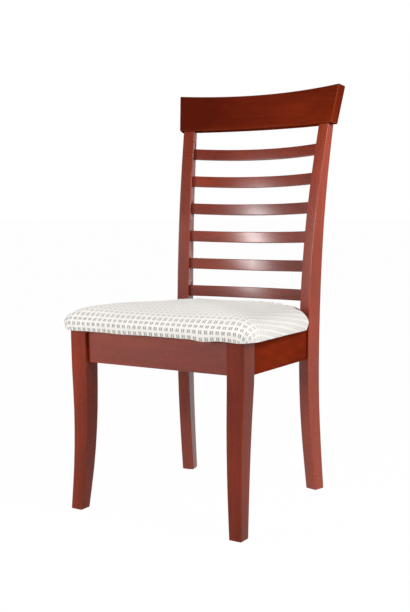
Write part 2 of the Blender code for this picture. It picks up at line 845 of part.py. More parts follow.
def block_screws(side, rear):
    """The two screws of a corner block, as the rail they enter, the head's seat and the axis."""
    outline = block_outline(side, rear)
    at_apron, apron_end, side_end, at_side, _ = outline
    _, along = side_line(side, 0.0)
    forward = 1 if rear else -1
    length = SCREW_WALL + SCREW_INTO_RAIL
    middle = -BLOCK_HEIGHT / 2
    to_apron = Vector((0.0, forward, 0.0))
    foot = at_apron + (apron_end - at_apron).normalized() * BLOCK_SCREW_INSET
    apron_seat = foot - to_apron * SCREW_WALL
    apron_seat.z = seat_z(apron_seat.y, middle + BLOCK_SCREW_STAGGER)
    to_side = Vector((side * along.y, -side * along.x, 0.0))
    foot = at_side + (side_end - at_side).normalized() * BLOCK_SCREW_INSET
    side_seat = foot - to_side * SCREW_WALL
    side_seat.z = seat_z(side_seat.y, middle - BLOCK_SCREW_STAGGER)
    apron = "rear_apron" if rear else "front_apron"
    rail = "side_apron_left" if side < 0 else "side_apron_right"
    return length, ((apron, apron_seat, to_apron), (rail, side_seat, to_side))


def seat_screw(side, rear):
    """A seat screw's length, head seat and axis, up through a corner block into the board."""
    outline = block_outline(side, rear)
    at_apron, apron_end, side_end, at_side, notch = outline
    along_apron = (apron_end - at_apron).normalized()
    along_side = (side_end - at_side).normalized()
    spot = notch + (along_apron + along_side) * SEAT_SCREW_INSET
    length = BLOCK_HEIGHT - SEAT_SCREW_RECESS + BOARD_BOTTOM + SEAT_SCREW_INTO_BOARD
    head = on_seat(spot.x, spot.y, 0.0) - seat_normal() * (BLOCK_HEIGHT - SEAT_SCREW_RECESS)
    return length, head, seat_normal()


def glide_profiles():
    """A nail-on glide's profile from the floor up, and the bore for its nail."""
    nail_end = GLIDE_THICKNESS + GLIDE_NAIL_LENGTH
    body = (
        (0.0, 0.0),
        (GLIDE_RADIUS - GLIDE_EDGE, 0.0),
        (GLIDE_RADIUS, GLIDE_EDGE),
        (GLIDE_RADIUS, GLIDE_THICKNESS),
        (GLIDE_NAIL_RADIUS, GLIDE_THICKNESS),
        (GLIDE_NAIL_RADIUS, nail_end - GLIDE_NAIL_POINT),
        (0.0, nail_end),
    )
    bore = (
        (0.0, -CUTTER_SPARE),
        (GLIDE_NAIL_RADIUS + GAP, -CUTTER_SPARE),
        (GLIDE_NAIL_RADIUS + GAP, nail_end + BORE_END),
        (0.0, nail_end + BORE_END),
    )
    return body, bore


# Seat


def seat_outline():
    """The pad's plan at the rails, notched round the two posts."""
    halves = []
    front_y = FRONT_FACE_Y - SEAT_FRONT_OVERHANG
    front_outset = -(SIDE_APRON_SET + SEAT_SIDE_OVERHANG)
    post_outset = -(SIDE_APRON_SET + SEAT_POST_OVERHANG)
    post_face = post_front(RAIL_TOP_Z) - NOTCH_GAP - PAD_BULGE
    inner_u = -POST_THICKNESS / 2 - NOTCH_GAP - PAD_BULGE
    rear_y = FRONT_FACE_Y + POST_SETBACK + SEAT_REAR_DEPTH
    for side in (-1, 1):
        halves.append(
            (
                (side_line_at(side, front_outset, front_y), FRONT_CORNER_RADIUS, 5),
                (side_line_at_post(side, post_outset, post_face), SIDE_CORNER_RADIUS, 4),
                (post_point(side, inner_u, post_face, 0.0), NOTCH_CORNER_RADIUS, 1),
                (post_side_at(side, inner_u, rear_y), REAR_CORNER_RADIUS, 2),
            )
        )
    left, right = halves
    return rounded_outline(list(right) + list(reversed(left)))


def pad_ring(outline, rise, out):
    """The pad's outline at a rise, parallel to its plan near the edge and drawn to the middle beyond.

    The rise is the one at the middle; the padding's growing thickness is added to it.
    """
    middle = Vector((0.0, FRONT_FACE_Y + POST_SETBACK / 2, 0.0))
    parallel = max(out, -PARALLEL_INSET)
    ring = offset_outline(outline, parallel)
    drawn = parallel - out
    share = (rise - PAD_THICKENING_FROM) / (PAD_THICKENING_FULL - PAD_THICKENING_FROM)
    thickening = PAD_THICKENING * min(max(share, 0.0), 1.0)
    points = []
    for point in ring:
        inward = (middle - point).normalized()
        moved = point + inward * drawn
        points.append(on_seat(moved.x, moved.y, rise + thickening * (moved.y - middle.y)))
    return points


def lined_profile(shift):
    """The pad's profile from the board's top up, moved inside the cover by a shift."""
    rows = []
    for rise, out in PAD_PROFILE:
        if rise < LINING_START:
            continue
        lower = shift if out < 0 else 0.0
        rows.append((rise - lower, out - shift))
    return rows


def seat_cover():
    """The fabric cover: a shell over the pad, turned under the board all round."""
    outline = seat_outline()
    inner_bottom = FABRIC_BOTTOM + FABRIC_THICKNESS
    rows = list(reversed(PAD_PROFILE))
    rows.append((FABRIC_BOTTOM, -FABRIC_RETURN))
    rows.append((inner_bottom, -FABRIC_RETURN))
    rows.append((inner_bottom, PAD_PROFILE[0][1] - FABRIC_THICKNESS))
    rows += lined_profile(FABRIC_THICKNESS)
    bm = bmesh.new()
    loft(bm, [pad_ring(outline, rise, out) for rise, out in rows])
    return bm


def seat_foam():
    """The foam pad under the cover."""
    outline = seat_outline()
    rows = [row for row in lined_profile(FABRIC_THICKNESS + GAP) if row[0] > FOAM_BOTTOM + GAP]
    rows.insert(0, (FOAM_BOTTOM, rows[0][1] - GAP))
    bm = bmesh.new()
    loft(bm, [pad_ring(outline, rise, out) for rise, out in rows])
    return bm


def flat_layer(bottom, thickness, inset):
    """A flat sheet or board in the seat."""
    outline = seat_outline()
    bm = bmesh.new()
    loft(bm, [pad_ring(outline, rise, -inset) for rise in (bottom, bottom + thickness)])
    return bm


# Assembly


def clear_scene():
    """Removes every object."""
    for item in list(bpy.data.objects):
        bpy.data.objects.remove(item, do_unlink=True)


def post_frame(side):
    """The frame of a back post, at its foot and turned with it."""
    foot = Matrix.Translation(post_point(side, 0.0, 0.0, 0.0))
    return foot @ Matrix.Rotation(-side * POST_TURN, 4, "Z")


def tilted_frame(origin, tilt):
    """A frame at an origin, tilted back."""
    return Matrix.Translation(origin) @ Matrix.Rotation(-tilt, 4, "X")


def build_wood(pieces, cuts, chair):
    """Builds the legs, posts, rails and slats."""
    for side, word in ((-1, "left"), (1, "right")):
        foot = foot_centre(front_leg_ring(side, 0.0))
        pieces["front_leg_" + word] = add_object(
            "front_leg_" + word, front_leg(side), cherry(), Matrix.Translation(foot), chair
        )
        pieces["back_post_" + word] = add_object(
            "back_post_" + word, back_post(side), cherry(), post_frame(side), chair
        )
        start, direction = side_line(side, 0.0)
        start.z = seat_z(start.y)
        turn = Matrix.Rotation(math.atan2(-direction.x, direction.y), 4, "Z")
        pieces["side_apron_" + word] = add_object(
            "side_apron_" + word, side_apron(side), cherry(), Matrix.Translation(start) @ turn, chair
        )
    front = Vector((0.0, front_apron_y(), seat_z(front_apron_y())))
    bm = cross_apron(front_apron_y(), leg_inner_x)
    pieces["front_apron"] = add_object("front_apron", bm, cherry(), Matrix.Translation(front), chair)
    rear = Vector((0.0, rear_apron_y(), seat_z(rear_apron_y())))
    bm = cross_apron(rear_apron_y(), post_inner_x)
    pieces["rear_apron"] = add_object("rear_apron", bm, cherry(), Matrix.Translation(rear), chair)
    crest_frame = tilted_frame(Vector((0.0, crest_end_y(), CREST_BOTTOM_Z)), CREST_TILT)
    pieces["crest_rail"] = add_object("crest_rail", crest_rail(), cherry(), crest_frame, chair)
    for index in range(SLAT_COUNT):
        name = "slat_%d" % (index + 1)
        height, end, tilt = slat_frame(index)
        frame = tilted_frame(Vector((0.0, end.y, height)), tilt)
        pieces[name] = add_object(name, slat(index, cuts), cherry(), frame, chair)


def build_dowels(pieces, cuts, chair):
    """Builds the dowels and bores both pieces of each joint."""
    for word, joints in (("apron", apron_joints()), ("crest", crest_joints())):
        for number, (first, second, start, axis, depth) in enumerate(joints, 1):
            name = "%s_dowel_%d" % (word, number)
            body, bore, frame = dowel(start, axis, depth)
            bm = bmesh.new()
            turned(bm, body, frame)
            pieces[name] = add_object(name, bm, beech(), frame, chair)
            turned(cuts.tool(first), bore, frame)
            turned(cuts.tool(second), bore, frame)


def build_blocks(pieces, cuts, chair):
    """Builds the corner blocks with their screws, and the screws that hold the seat."""
    screw_number = 1
    seat_number = 1
    for rear, row in ((False, "front"), (True, "rear")):
        for side, word in ((-1, "left"), (1, "right")):
            block = "corner_block_%s_%s" % (row, word)
            centre = on_seat(*foot_centre(block_outline(side, rear)).xy, 0.0)
            pieces[block] = add_object(
                block, corner_block(side, rear), beech(), Matrix.Translation(centre), chair
            )
            length, fixings = block_screws(side, rear)
            body, bore = screw(length)
            for rail, seat, axis in fixings:
                name = "block_screw_%d" % screw_number
                bm = bmesh.new()
                frame = aim(seat, axis)
                turned(bm, body, frame)
                pieces[name] = add_object(name, bm, zinc(), frame, chair)
                turned(cuts.tool(block), bore, frame)
                turned(cuts.tool(rail), bore, frame)
                screw_number += 1
            length, head, axis = seat_screw(side, rear)
            body, bore = screw(length)
            name = "seat_screw_%d" % seat_number
            frame = aim(head, axis)
            bm = bmesh.new()
            turned(bm, body, frame)
            pieces[name] = add_object(name, bm, zinc(), frame, chair)
            layers = ("dust_cover", "seat_board", "seat_cover") if rear else ("dust_cover", "seat_board")
            for target in (block, *layers):
                turned(cuts.tool(target), bore, frame)
            seat_number += 1


def build_glides(pieces, cuts, chair):
    """Builds a nail-on glide under each foot."""
    body, bore = glide_profiles()
    feet = []
    for side, word in ((-1, "left"), (1, "right")):
        feet.append(("glide_front_" + word, "front_leg_" + word, foot_centre(front_leg_ring(side, 0.0))))
        feet.append(("glide_rear_" + word, "back_post_" + word, foot_centre(post_ring(side, 0.0))))
    for name, leg, centre in feet:
        frame = Matrix.Translation(centre)
        bm = bmesh.new()
        turned(bm, body, frame, sides=GLIDE_SIDES)
        pieces[name] = add_object(name, bm, nylon(), frame, chair)
        turned(cuts.tool(leg), bore, frame)


def build_seat(pieces, chair):
    """Builds the seat's layers on a frame that follows the seat's slope."""
    frame = tilted_frame(Vector((0.0, SEAT_PIVOT_Y, RAIL_TOP_Z)), SEAT_SLOPE)
    seat = add_empty("seat", frame)
    seat.parent = chair
    layers = (
        ("seat_board", flat_layer(BOARD_BOTTOM, BOARD_THICKNESS, BOARD_INSET), plywood()),
        ("seat_foam", seat_foam(), foam()),
        ("seat_cover", seat_cover(), woven_fabric()),
        ("dust_cover", flat_layer(GAP, DUST_COVER_THICKNESS, DUST_COVER_INSET), dust_cloth()),
    )
    for name, bm, material in layers:
        pieces[name] = add_object(name, bm, material, frame, seat)


def main():
    """Builds the whole chair."""
    clear_scene()
    chair = add_empty("chair", Matrix.Identity(4))
    pieces = {}
    cuts = Cuts()
    build_wood(pieces, cuts, chair)
    build_dowels(pieces, cuts, chair)
    build_seat(pieces, chair)
    build_blocks(pieces, cuts, chair)
    build_glides(pieces, cuts, chair)
    cuts.apply(pieces)


main()
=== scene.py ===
"""Dresses a padded dining chair: a cherry frame, a seat in a checked weave, and the studio round it.

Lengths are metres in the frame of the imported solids. The chair faces -Y, +Z is up and the floor is at Z = 0.
"""

import logging
import math
from dataclasses import dataclass
from enum import Enum

import bmesh
import bpy
from mathutils import Matrix, Vector, noise


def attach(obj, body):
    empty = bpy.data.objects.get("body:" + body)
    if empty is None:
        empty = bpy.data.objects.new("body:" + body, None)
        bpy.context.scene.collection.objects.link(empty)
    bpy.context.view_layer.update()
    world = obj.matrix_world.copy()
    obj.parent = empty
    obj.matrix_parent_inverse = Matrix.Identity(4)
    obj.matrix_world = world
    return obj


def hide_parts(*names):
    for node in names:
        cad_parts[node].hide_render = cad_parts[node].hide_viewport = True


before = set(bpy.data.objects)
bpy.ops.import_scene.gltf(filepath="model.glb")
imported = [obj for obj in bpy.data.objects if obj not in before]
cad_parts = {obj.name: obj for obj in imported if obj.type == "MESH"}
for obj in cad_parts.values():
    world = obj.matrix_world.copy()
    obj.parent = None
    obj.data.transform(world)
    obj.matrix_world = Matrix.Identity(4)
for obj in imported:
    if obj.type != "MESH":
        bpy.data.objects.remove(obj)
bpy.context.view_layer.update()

log = logging.getLogger("chair")

BODY = "root"
MERGE = 1e-5
# How strongly the large faces rule the shading, from 1 to 100
FLAT_WEIGHT = 60

Colour = tuple[float, float, float]
Source = bpy.types.NodeSocket | float | tuple


class Grain(Enum):
    """The direction in which a piece's grain runs, as the turn that brings it upright."""

    ACROSS = (0.0, math.radians(-90), 0.0)
    FRONT_TO_BACK = (math.radians(90), 0.0, 0.0)
    UPRIGHT = (0.0, 0.0, 0.0)


# Node trees


class Graph:
    """A node tree with short calls that add nodes and wire them."""

    def __init__(self, tree: bpy.types.NodeTree) -> None:
        """Keeps the tree that is filled."""
        self.tree = tree

    def add(self, kind: str, **settings: object) -> bpy.types.Node:
        """Adds a shader node.

        Args:
            kind: The node's type without its ShaderNode prefix.
            settings: Values for the node's own properties.

        Returns:
            The new node.
        """
        node = self.tree.nodes.new("ShaderNode" + kind)
        for key, value in settings.items():
            setattr(node, key, value)
        return node

    def wire(self, socket: bpy.types.NodeSocket, source: Source) -> None:
        """Links a socket to another one, or sets its value.

        Args:
            socket: The input that is fed.
            source: A socket to link it to, or the value that it takes.
        """
        if isinstance(source, bpy.types.NodeSocket):
            self.tree.links.new(source, socket)
        else:
            socket.default_value = source

    def math(self, operation: str, *values: Source, clamp: bool = False) -> bpy.types.NodeSocket:
        """Adds a Math node.

        Args:
            operation: The node's operation.
            values: What its inputs take, in order.
            clamp: Whether the result is kept between 0 and 1.

        Returns:
            The result's socket.
        """
        node = self.add("Math", operation=operation, use_clamp=clamp)
        for socket, value in zip(node.inputs, values):
            self.wire(socket, value)
        return node.outputs[0]

    def stretch(self, place: Source, factors: tuple[float, float, float]) -> bpy.types.NodeSocket:
        """Multiplies a position by a factor along each axis.

        Args:
            place: The position.
            factors: The factor along X, Y and Z.

        Returns:
            The multiplied position's socket.
        """
        node = self.add("VectorMath", operation="MULTIPLY")
        self.wire(node.inputs[0], place)
        node.inputs[1].default_value = factors
        return node.outputs[0]

    def split(self, place: Source) -> list[bpy.types.NodeSocket]:
        """Takes a position apart.

        Args:
            place: The position.

        Returns:
            The sockets of its X, Y and Z.
        """
        node = self.add("SeparateXYZ")
        self.wire(node.inputs[0], place)
        return list(node.outputs)

    def noise(
        self, place: Source, scale: float, detail: float = 2.0, seed: Source = 0.0, rough: float = 0.5
    ) -> bpy.types.NodeSocket:
        """Adds a noise texture in four dimensions.

        Args:
            place: The position it is read at.
            scale: Its features per metre, about.
            detail: How many finer layers it has.
            seed: Its fourth coordinate.
            rough: How strong the finer layers are.

        Returns:
            The noise value's socket.
        """
        node = self.add("TexNoise", noise_dimensions="4D")
        self.wire(node.inputs["Vector"], place)
        self.wire(node.inputs["W"], seed)
        node.inputs["Scale"].default_value = scale
        node.inputs["Detail"].default_value = detail
        node.inputs["Roughness"].default_value = rough
        return node.outputs[0]

    def band(
        self, value: Source, low: float, high: float, start: float = 0.0, end: float = 1.0
    ) -> bpy.types.NodeSocket:
        """Maps a value smoothly from one range onto another.

        Args:
            value: The value that is mapped.
            low: Where its own range starts.
            high: Where its own range ends.
            start: What the low end becomes.
            end: What the high end becomes.

        Returns:
            The mapped value's socket.
        """
        node = self.add("MapRange", interpolation_type="SMOOTHSTEP")
        self.wire(node.inputs["Value"], value)
        node.inputs["From Min"].default_value = low
        node.inputs["From Max"].default_value = high
        node.inputs["To Min"].default_value = start
        node.inputs["To Max"].default_value = end
        return node.outputs[0]

    def mix(self, factor: Source, first: Source, second: Source, mode: str = "MIX") -> bpy.types.NodeSocket:
        """Mixes two colours.

        Args:
            factor: The share of the second.
            first: A colour's socket or its three numbers.
            second: The same.
            mode: The node's blend type.

        Returns:
            The mixed colour's socket.
        """
        node = self.add("Mix", data_type="RGBA", blend_type=mode)
        self.wire(node.inputs[0], factor)
        for socket, colour in ((node.inputs[6], first), (node.inputs[7], second)):
            self.wire(socket, (*colour, 1.0) if isinstance(colour, tuple) else colour)
        return node.outputs[2]

    def attribute(self, name: str) -> bpy.types.NodeSocket:
        """The number that each vertex holds under a name."""
        return self.add("Attribute", attribute_name=name).outputs["Fac"]

    def effect(self, tree: bpy.types.NodeTree, **inputs: Source) -> bpy.types.Node:
        """Places an effect's group and wires its inputs.

        Args:
            tree: The effect's group.
            inputs: What each of its inputs takes, by name.

        Returns:
            The group's node.
        """
        node = self.add("Group", node_tree=tree)
        for name, source in inputs.items():
            self.wire(node.inputs[name], source)
        return node


class Effect:
    """A shader node group with named inputs and outputs, shared by several finishes."""

    def __init__(self, name: str, inputs: dict[str, str], outputs: tuple[str, ...]) -> None:
        """Makes the group.

        Args:
            name: The group's name.
            inputs: Each input's name and the kind of its socket.
            outputs: The names of the outputs, all of them numbers.
        """
        self.tree = bpy.data.node_groups.new(name, "ShaderNodeTree")
        self.graph = Graph(self.tree)
        for key, kind in inputs.items():
            self.tree.interface.new_socket(key, in_out="INPUT", socket_type="NodeSocket" + kind)
        for key in outputs:
            self.tree.interface.new_socket(key, in_out="OUTPUT", socket_type="NodeSocketFloat")
        self.given = self.tree.nodes.new("NodeGroupInput")
        self.result = self.tree.nodes.new("NodeGroupOutput")

    def read(self, name: str) -> bpy.types.NodeSocket:
        """An input's socket inside the group."""
        return self.given.outputs[name]

    def put(self, name: str, source: Source) -> None:
        """Wires one of the group's outputs."""
        self.graph.wire(self.result.inputs[name], source)


# Features of the grain per metre, twice across the timber and once along it
STREAKS = (150.0, 150.0, 6.0)
DRIFT = (16.0, 16.0, 2.2)
CLOUDS = (7.0, 7.0, 2.6)
PORES = (1400.0, 1400.0, 90.0)
# The growth rings' step in metres, and how far the drift bends them, in radians
RING_STEP = 0.011
RING_BEND = 22.0


def grain_effect() -> bpy.types.NodeTree:
    """Straight timber grain: long streaks, growth rings, a slow change of tone and fine pores, along Z.

    Returns:
        The group, with a value for each of the four.
    """
    effect = Effect(
        "timber_grain", {"Place": "Vector", "Seed": "Float"}, ("Streaks", "Rings", "Clouds", "Pores")
    )
    graph = effect.graph
    place = effect.read("Place")
    seed = effect.read("Seed")
    streaks = graph.noise(graph.stretch(place, STREAKS), 1.0, 4.0, seed, 0.6)
    drift = graph.noise(graph.stretch(place, DRIFT), 1.0, 2.0, seed)
    x, y, _ = graph.split(place)
    across = graph.math("MULTIPLY_ADD", y, 0.45, x)
    bend = graph.math("MULTIPLY", drift, RING_BEND)
    phase = graph.math("MULTIPLY_ADD", across, math.tau / RING_STEP, bend)
    rings = graph.math("MULTIPLY_ADD", graph.math("SINE", phase), 0.5, 0.5)
    clouds = graph.noise(graph.stretch(place, CLOUDS), 1.0, 3.0, seed, 0.55)
    pores = graph.noise(graph.stretch(place, PORES), 1.0, 1.0, seed)
    effect.put("Streaks", graph.band(streaks, 0.34, 0.68))
    effect.put("Rings", rings)
    effect.put("Clouds", graph.band(clouds, 0.30, 0.70))
    effect.put("Pores", graph.band(pores, 0.58, 0.74))
    return effect.tree


def wear_effect() -> bpy.types.NodeTree:
    """Rubbed arrises where the surface turns sharply, in patches; on the lacquer they also carry a painted
    highlight.

    Returns:
        The group, with a mask of the rubbed places.
    """
    effect = Effect("rubbed_arris", {"Arris": "Float", "Place": "Vector", "Amount": "Float"}, ("Wear",))
    graph = effect.graph
    patches = graph.band(graph.noise(effect.read("Place"), 38.0, 3.0), 0.30, 0.70, 0.55, 1.0)
    worn_and_highlit = graph.math("MULTIPLY", effect.read("Arris"), patches)
    effect.put("Wear", graph.math("MULTIPLY", worn_and_highlit, effect.read("Amount"), clamp=True))
    return effect.tree


def smudge_effect() -> bpy.types.NodeTree:
    """A faint unevenness of a surface's gloss, as handling and wiping leave it.

    Returns:
        The group, with a value to add to the roughness.
    """
    effect = Effect("wiped_gloss", {"Place": "Vector", "Reach": "Float"}, ("Smudge",))
    graph = effect.graph
    wide = graph.noise(effect.read("Place"), 14.0, 4.0, 3.7, 0.62)
    fine = graph.noise(effect.read("Place"), 160.0, 2.0, 8.1)
    both = graph.math("MULTIPLY_ADD", fine, 0.08, graph.math("MULTIPLY", wide, 0.92))
    effect.put("Smudge", graph.math("MULTIPLY", graph.band(both, 0.36, 0.66), effect.read("Reach")))
    return effect.tree


def weave_effect() -> bpy.types.NodeTree:
    """Plain weave: threads over and under each other, on a flat cloth's own coordinates.

    Returns:
        The group, with the threads' height and the gaps between them.
    """
    effect = Effect("plain_weave", {"Threads": "Vector", "Count": "Float"}, ("Height", "Gaps"))
    graph = effect.graph
    u, v, _ = graph.split(effect.read("Threads"))
    count = effect.read("Count")
    turn_u = graph.math("MULTIPLY", graph.math("MULTIPLY", u, count), math.pi)
    turn_v = graph.math("MULTIPLY", graph.math("MULTIPLY", v, count), math.pi)
    sine_u = graph.math("SINE", turn_u)
    sine_v = graph.math("SINE", turn_v)
    round_u = graph.math("ABSOLUTE", sine_u)
    round_v = graph.math("ABSOLUTE", sine_v)
    over = graph.math("GREATER_THAN", graph.math("MULTIPLY", sine_u, sine_v), 0.0)
    under = graph.math("SUBTRACT", 1.0, over)
    height = graph.math(
        "ADD", graph.math("MULTIPLY", round_u, over), graph.math("MULTIPLY", round_v, under)
    )
    effect.put("Height", height)
    effect.put("Gaps", graph.band(graph.math("MAXIMUM", round_u, round_v), 0.70, 0.25))
    return effect.tree


@dataclass
class Effects:
    """The effects that the finishes share."""

    grain: bpy.types.NodeTree
    wear: bpy.types.NodeTree
    smudge: bpy.types.NodeTree
    weave: bpy.types.NodeTree

    @classmethod
    def make(cls) -> "Effects":
        """Builds each group once."""
        return cls(grain_effect(), wear_effect(), smudge_effect(), weave_effect())


# Finishes


def new_material(name: str, **constants: float) -> tuple[bpy.types.Material, Graph, bpy.types.Node]:
    """Starts a material.

    Args:
        name: The material's name.
        constants: Values for sockets of the Principled BSDF, with underscores for spaces.

    Returns:
        The material, its graph and its Principled BSDF.
    """
    material = bpy.data.materials.new(name)
    material.use_nodes = True
    shader = material.node_tree.nodes["Principled BSDF"]
    for key, value in constants.items():
        shader.inputs[key.replace("_", " ")].default_value = value
    return material, Graph(material.node_tree), shader


def bumped(graph: Graph, shader: bpy.types.Node, height: Source, strength: float, distance: float) -> None:
    """Feeds a shader's normal from a height.

    Args:
        graph: The material's graph.
        shader: Its Principled BSDF.
        height: The height's socket.
        strength: How much of the relief is kept.
        distance: How deep a height of 1 is, in metres.
    """
    bump = graph.add("Bump")
    bump.inputs["Strength"].default_value = strength
    bump.inputs["Distance"].default_value = distance
    graph.wire(bump.inputs["Height"], height)
    graph.wire(shader.inputs["Normal"], bump.outputs[0])


def roughened(
    graph: Graph, shader: bpy.types.Node, effects: Effects, place: Source, reach: float, base: float
) -> None:
    """Feeds a shader's roughness from a base value with some unevenness.

    Args:
        graph: The material's graph.
        shader: Its Principled BSDF.
        effects: The shared effects.
        place: The position that the unevenness is read at.
        reach: The most that the unevenness adds.
        base: The roughness that it is added to.
    """
    smudge = graph.effect(effects.smudge, Place=place, Reach=reach)
    graph.wire(shader.inputs["Roughness"], graph.math("ADD", smudge.outputs["Smudge"], base))


def turned_place(graph: Graph, grain: Grain) -> bpy.types.NodeSocket:
    """Turns the object's coordinates so that the grain runs along Z.

    Args:
        graph: The material's graph.
        grain: Which way the piece's grain runs.

    Returns:
        The turned position's socket.
    """
    mapping = graph.add("Mapping")
    mapping.inputs["Rotation"].default_value = grain.value
    graph.wire(mapping.inputs["Vector"], graph.add("TexCoord").outputs["Object"])
    return mapping.outputs[0]


@dataclass(frozen=True)
class Lacquer:
    """Cherry-stained hardwood under lacquer."""

    name: str
    gloss: float
    deep: Colour = (0.080, 0.0080, 0.0030)
    warm: Colour = (0.340, 0.0390, 0.0095)
    dark: Colour = (0.055, 0.0060, 0.0035)
    # A lighter colour on the rubbed arrises: partly wear, partly a painted highlight along the rounded edges.
    worn_and_highlit: Colour = (0.36, 0.085, 0.030)
    roughness: float = 0.26
    unevenness: float = 0.04
    cloud_share: float = 0.40
    ring_share: float = 0.12
    streak_share: float = 0.24
    pore_share: float = 0.16
    rubbing: float = 0.25

    def material(self, effects: Effects, grain: Grain) -> bpy.types.Material:
        """Makes the lacquer for pieces whose grain runs one way.

        Args:
            effects: The shared effects.
            grain: Which way the piece's grain runs.

        Returns:
            The material.
        """
        name = self.name + "_" + grain.name.lower()
        material, graph, shader = new_material(name, Specular_IOR_Level=self.gloss)
        place = turned_place(graph, grain)
        seed = graph.attribute("seed")
        arris = graph.attribute("arris")
        timber = graph.effect(effects.grain, Place=place, Seed=seed)
        # Each piece's lightness from end to end shifts the stain's mix: partly the timber's real unevenness,
        # partly painted light and shade.
        stain_and_painted_light = graph.attribute("stain_and_painted_light")
        stain = graph.math("MULTIPLY_ADD", timber.outputs["Clouds"], self.cloud_share, stain_and_painted_light, clamp=True)
        colour = graph.mix(stain, self.deep, self.warm)
        rings = graph.math("MULTIPLY", timber.outputs["Rings"], self.ring_share)
        colour = graph.mix(rings, colour, self.dark)
        streaks = graph.math("MULTIPLY", timber.outputs["Streaks"], self.streak_share)
        colour = graph.mix(streaks, colour, self.dark)
        pores = graph.math("MULTIPLY", timber.outputs["Pores"], self.pore_share)
        colour = graph.mix(pores, colour, self.dark)
        # Lighter arrises, partly rubbed wear and partly a painted highlight.
        wear = graph.effect(effects.wear, Arris=arris, Place=place, Amount=self.rubbing)
        colour = graph.mix(wear.outputs["Wear"], colour, self.worn_and_highlit)
        graph.wire(shader.inputs["Base Color"], colour)
        roughened(graph, shader, effects, place, self.unevenness, self.roughness)
        bumped(graph, shader, timber.outputs["Streaks"], 0.03, 0.0003)
        return material


@dataclass(frozen=True)
class RawTimber:
    """Sanded timber without a finish, for blocks, dowels and the seat's board."""

    name: str
    light: Colour
    dark: Colour
    roughness: float = 0.62
    unevenness: float = 0.15

    def material(self, effects: Effects, grain: Grain) -> bpy.types.Material:
        """Makes the bare timber for pieces whose grain runs one way.

        Args:
            effects: The shared effects.
            grain: Which way the piece's grain runs.

        Returns:
            The material.
        """
        material, graph, shader = new_material(self.name)
        place = turned_place(graph, grain)
        seed = graph.attribute("seed")
        timber = graph.effect(effects.grain, Place=place, Seed=seed)
        colour = graph.mix(graph.math("MULTIPLY", timber.outputs["Streaks"], 0.6), self.light, self.dark)
        colour = graph.mix(graph.math("MULTIPLY", timber.outputs["Pores"], 0.5), colour, self.dark)
        graph.wire(shader.inputs["Base Color"], colour)
        roughened(graph, shader, effects, place, self.unevenness, self.roughness)
        bumped(graph, shader, timber.outputs["Streaks"], 0.2, 0.0004)
        return material


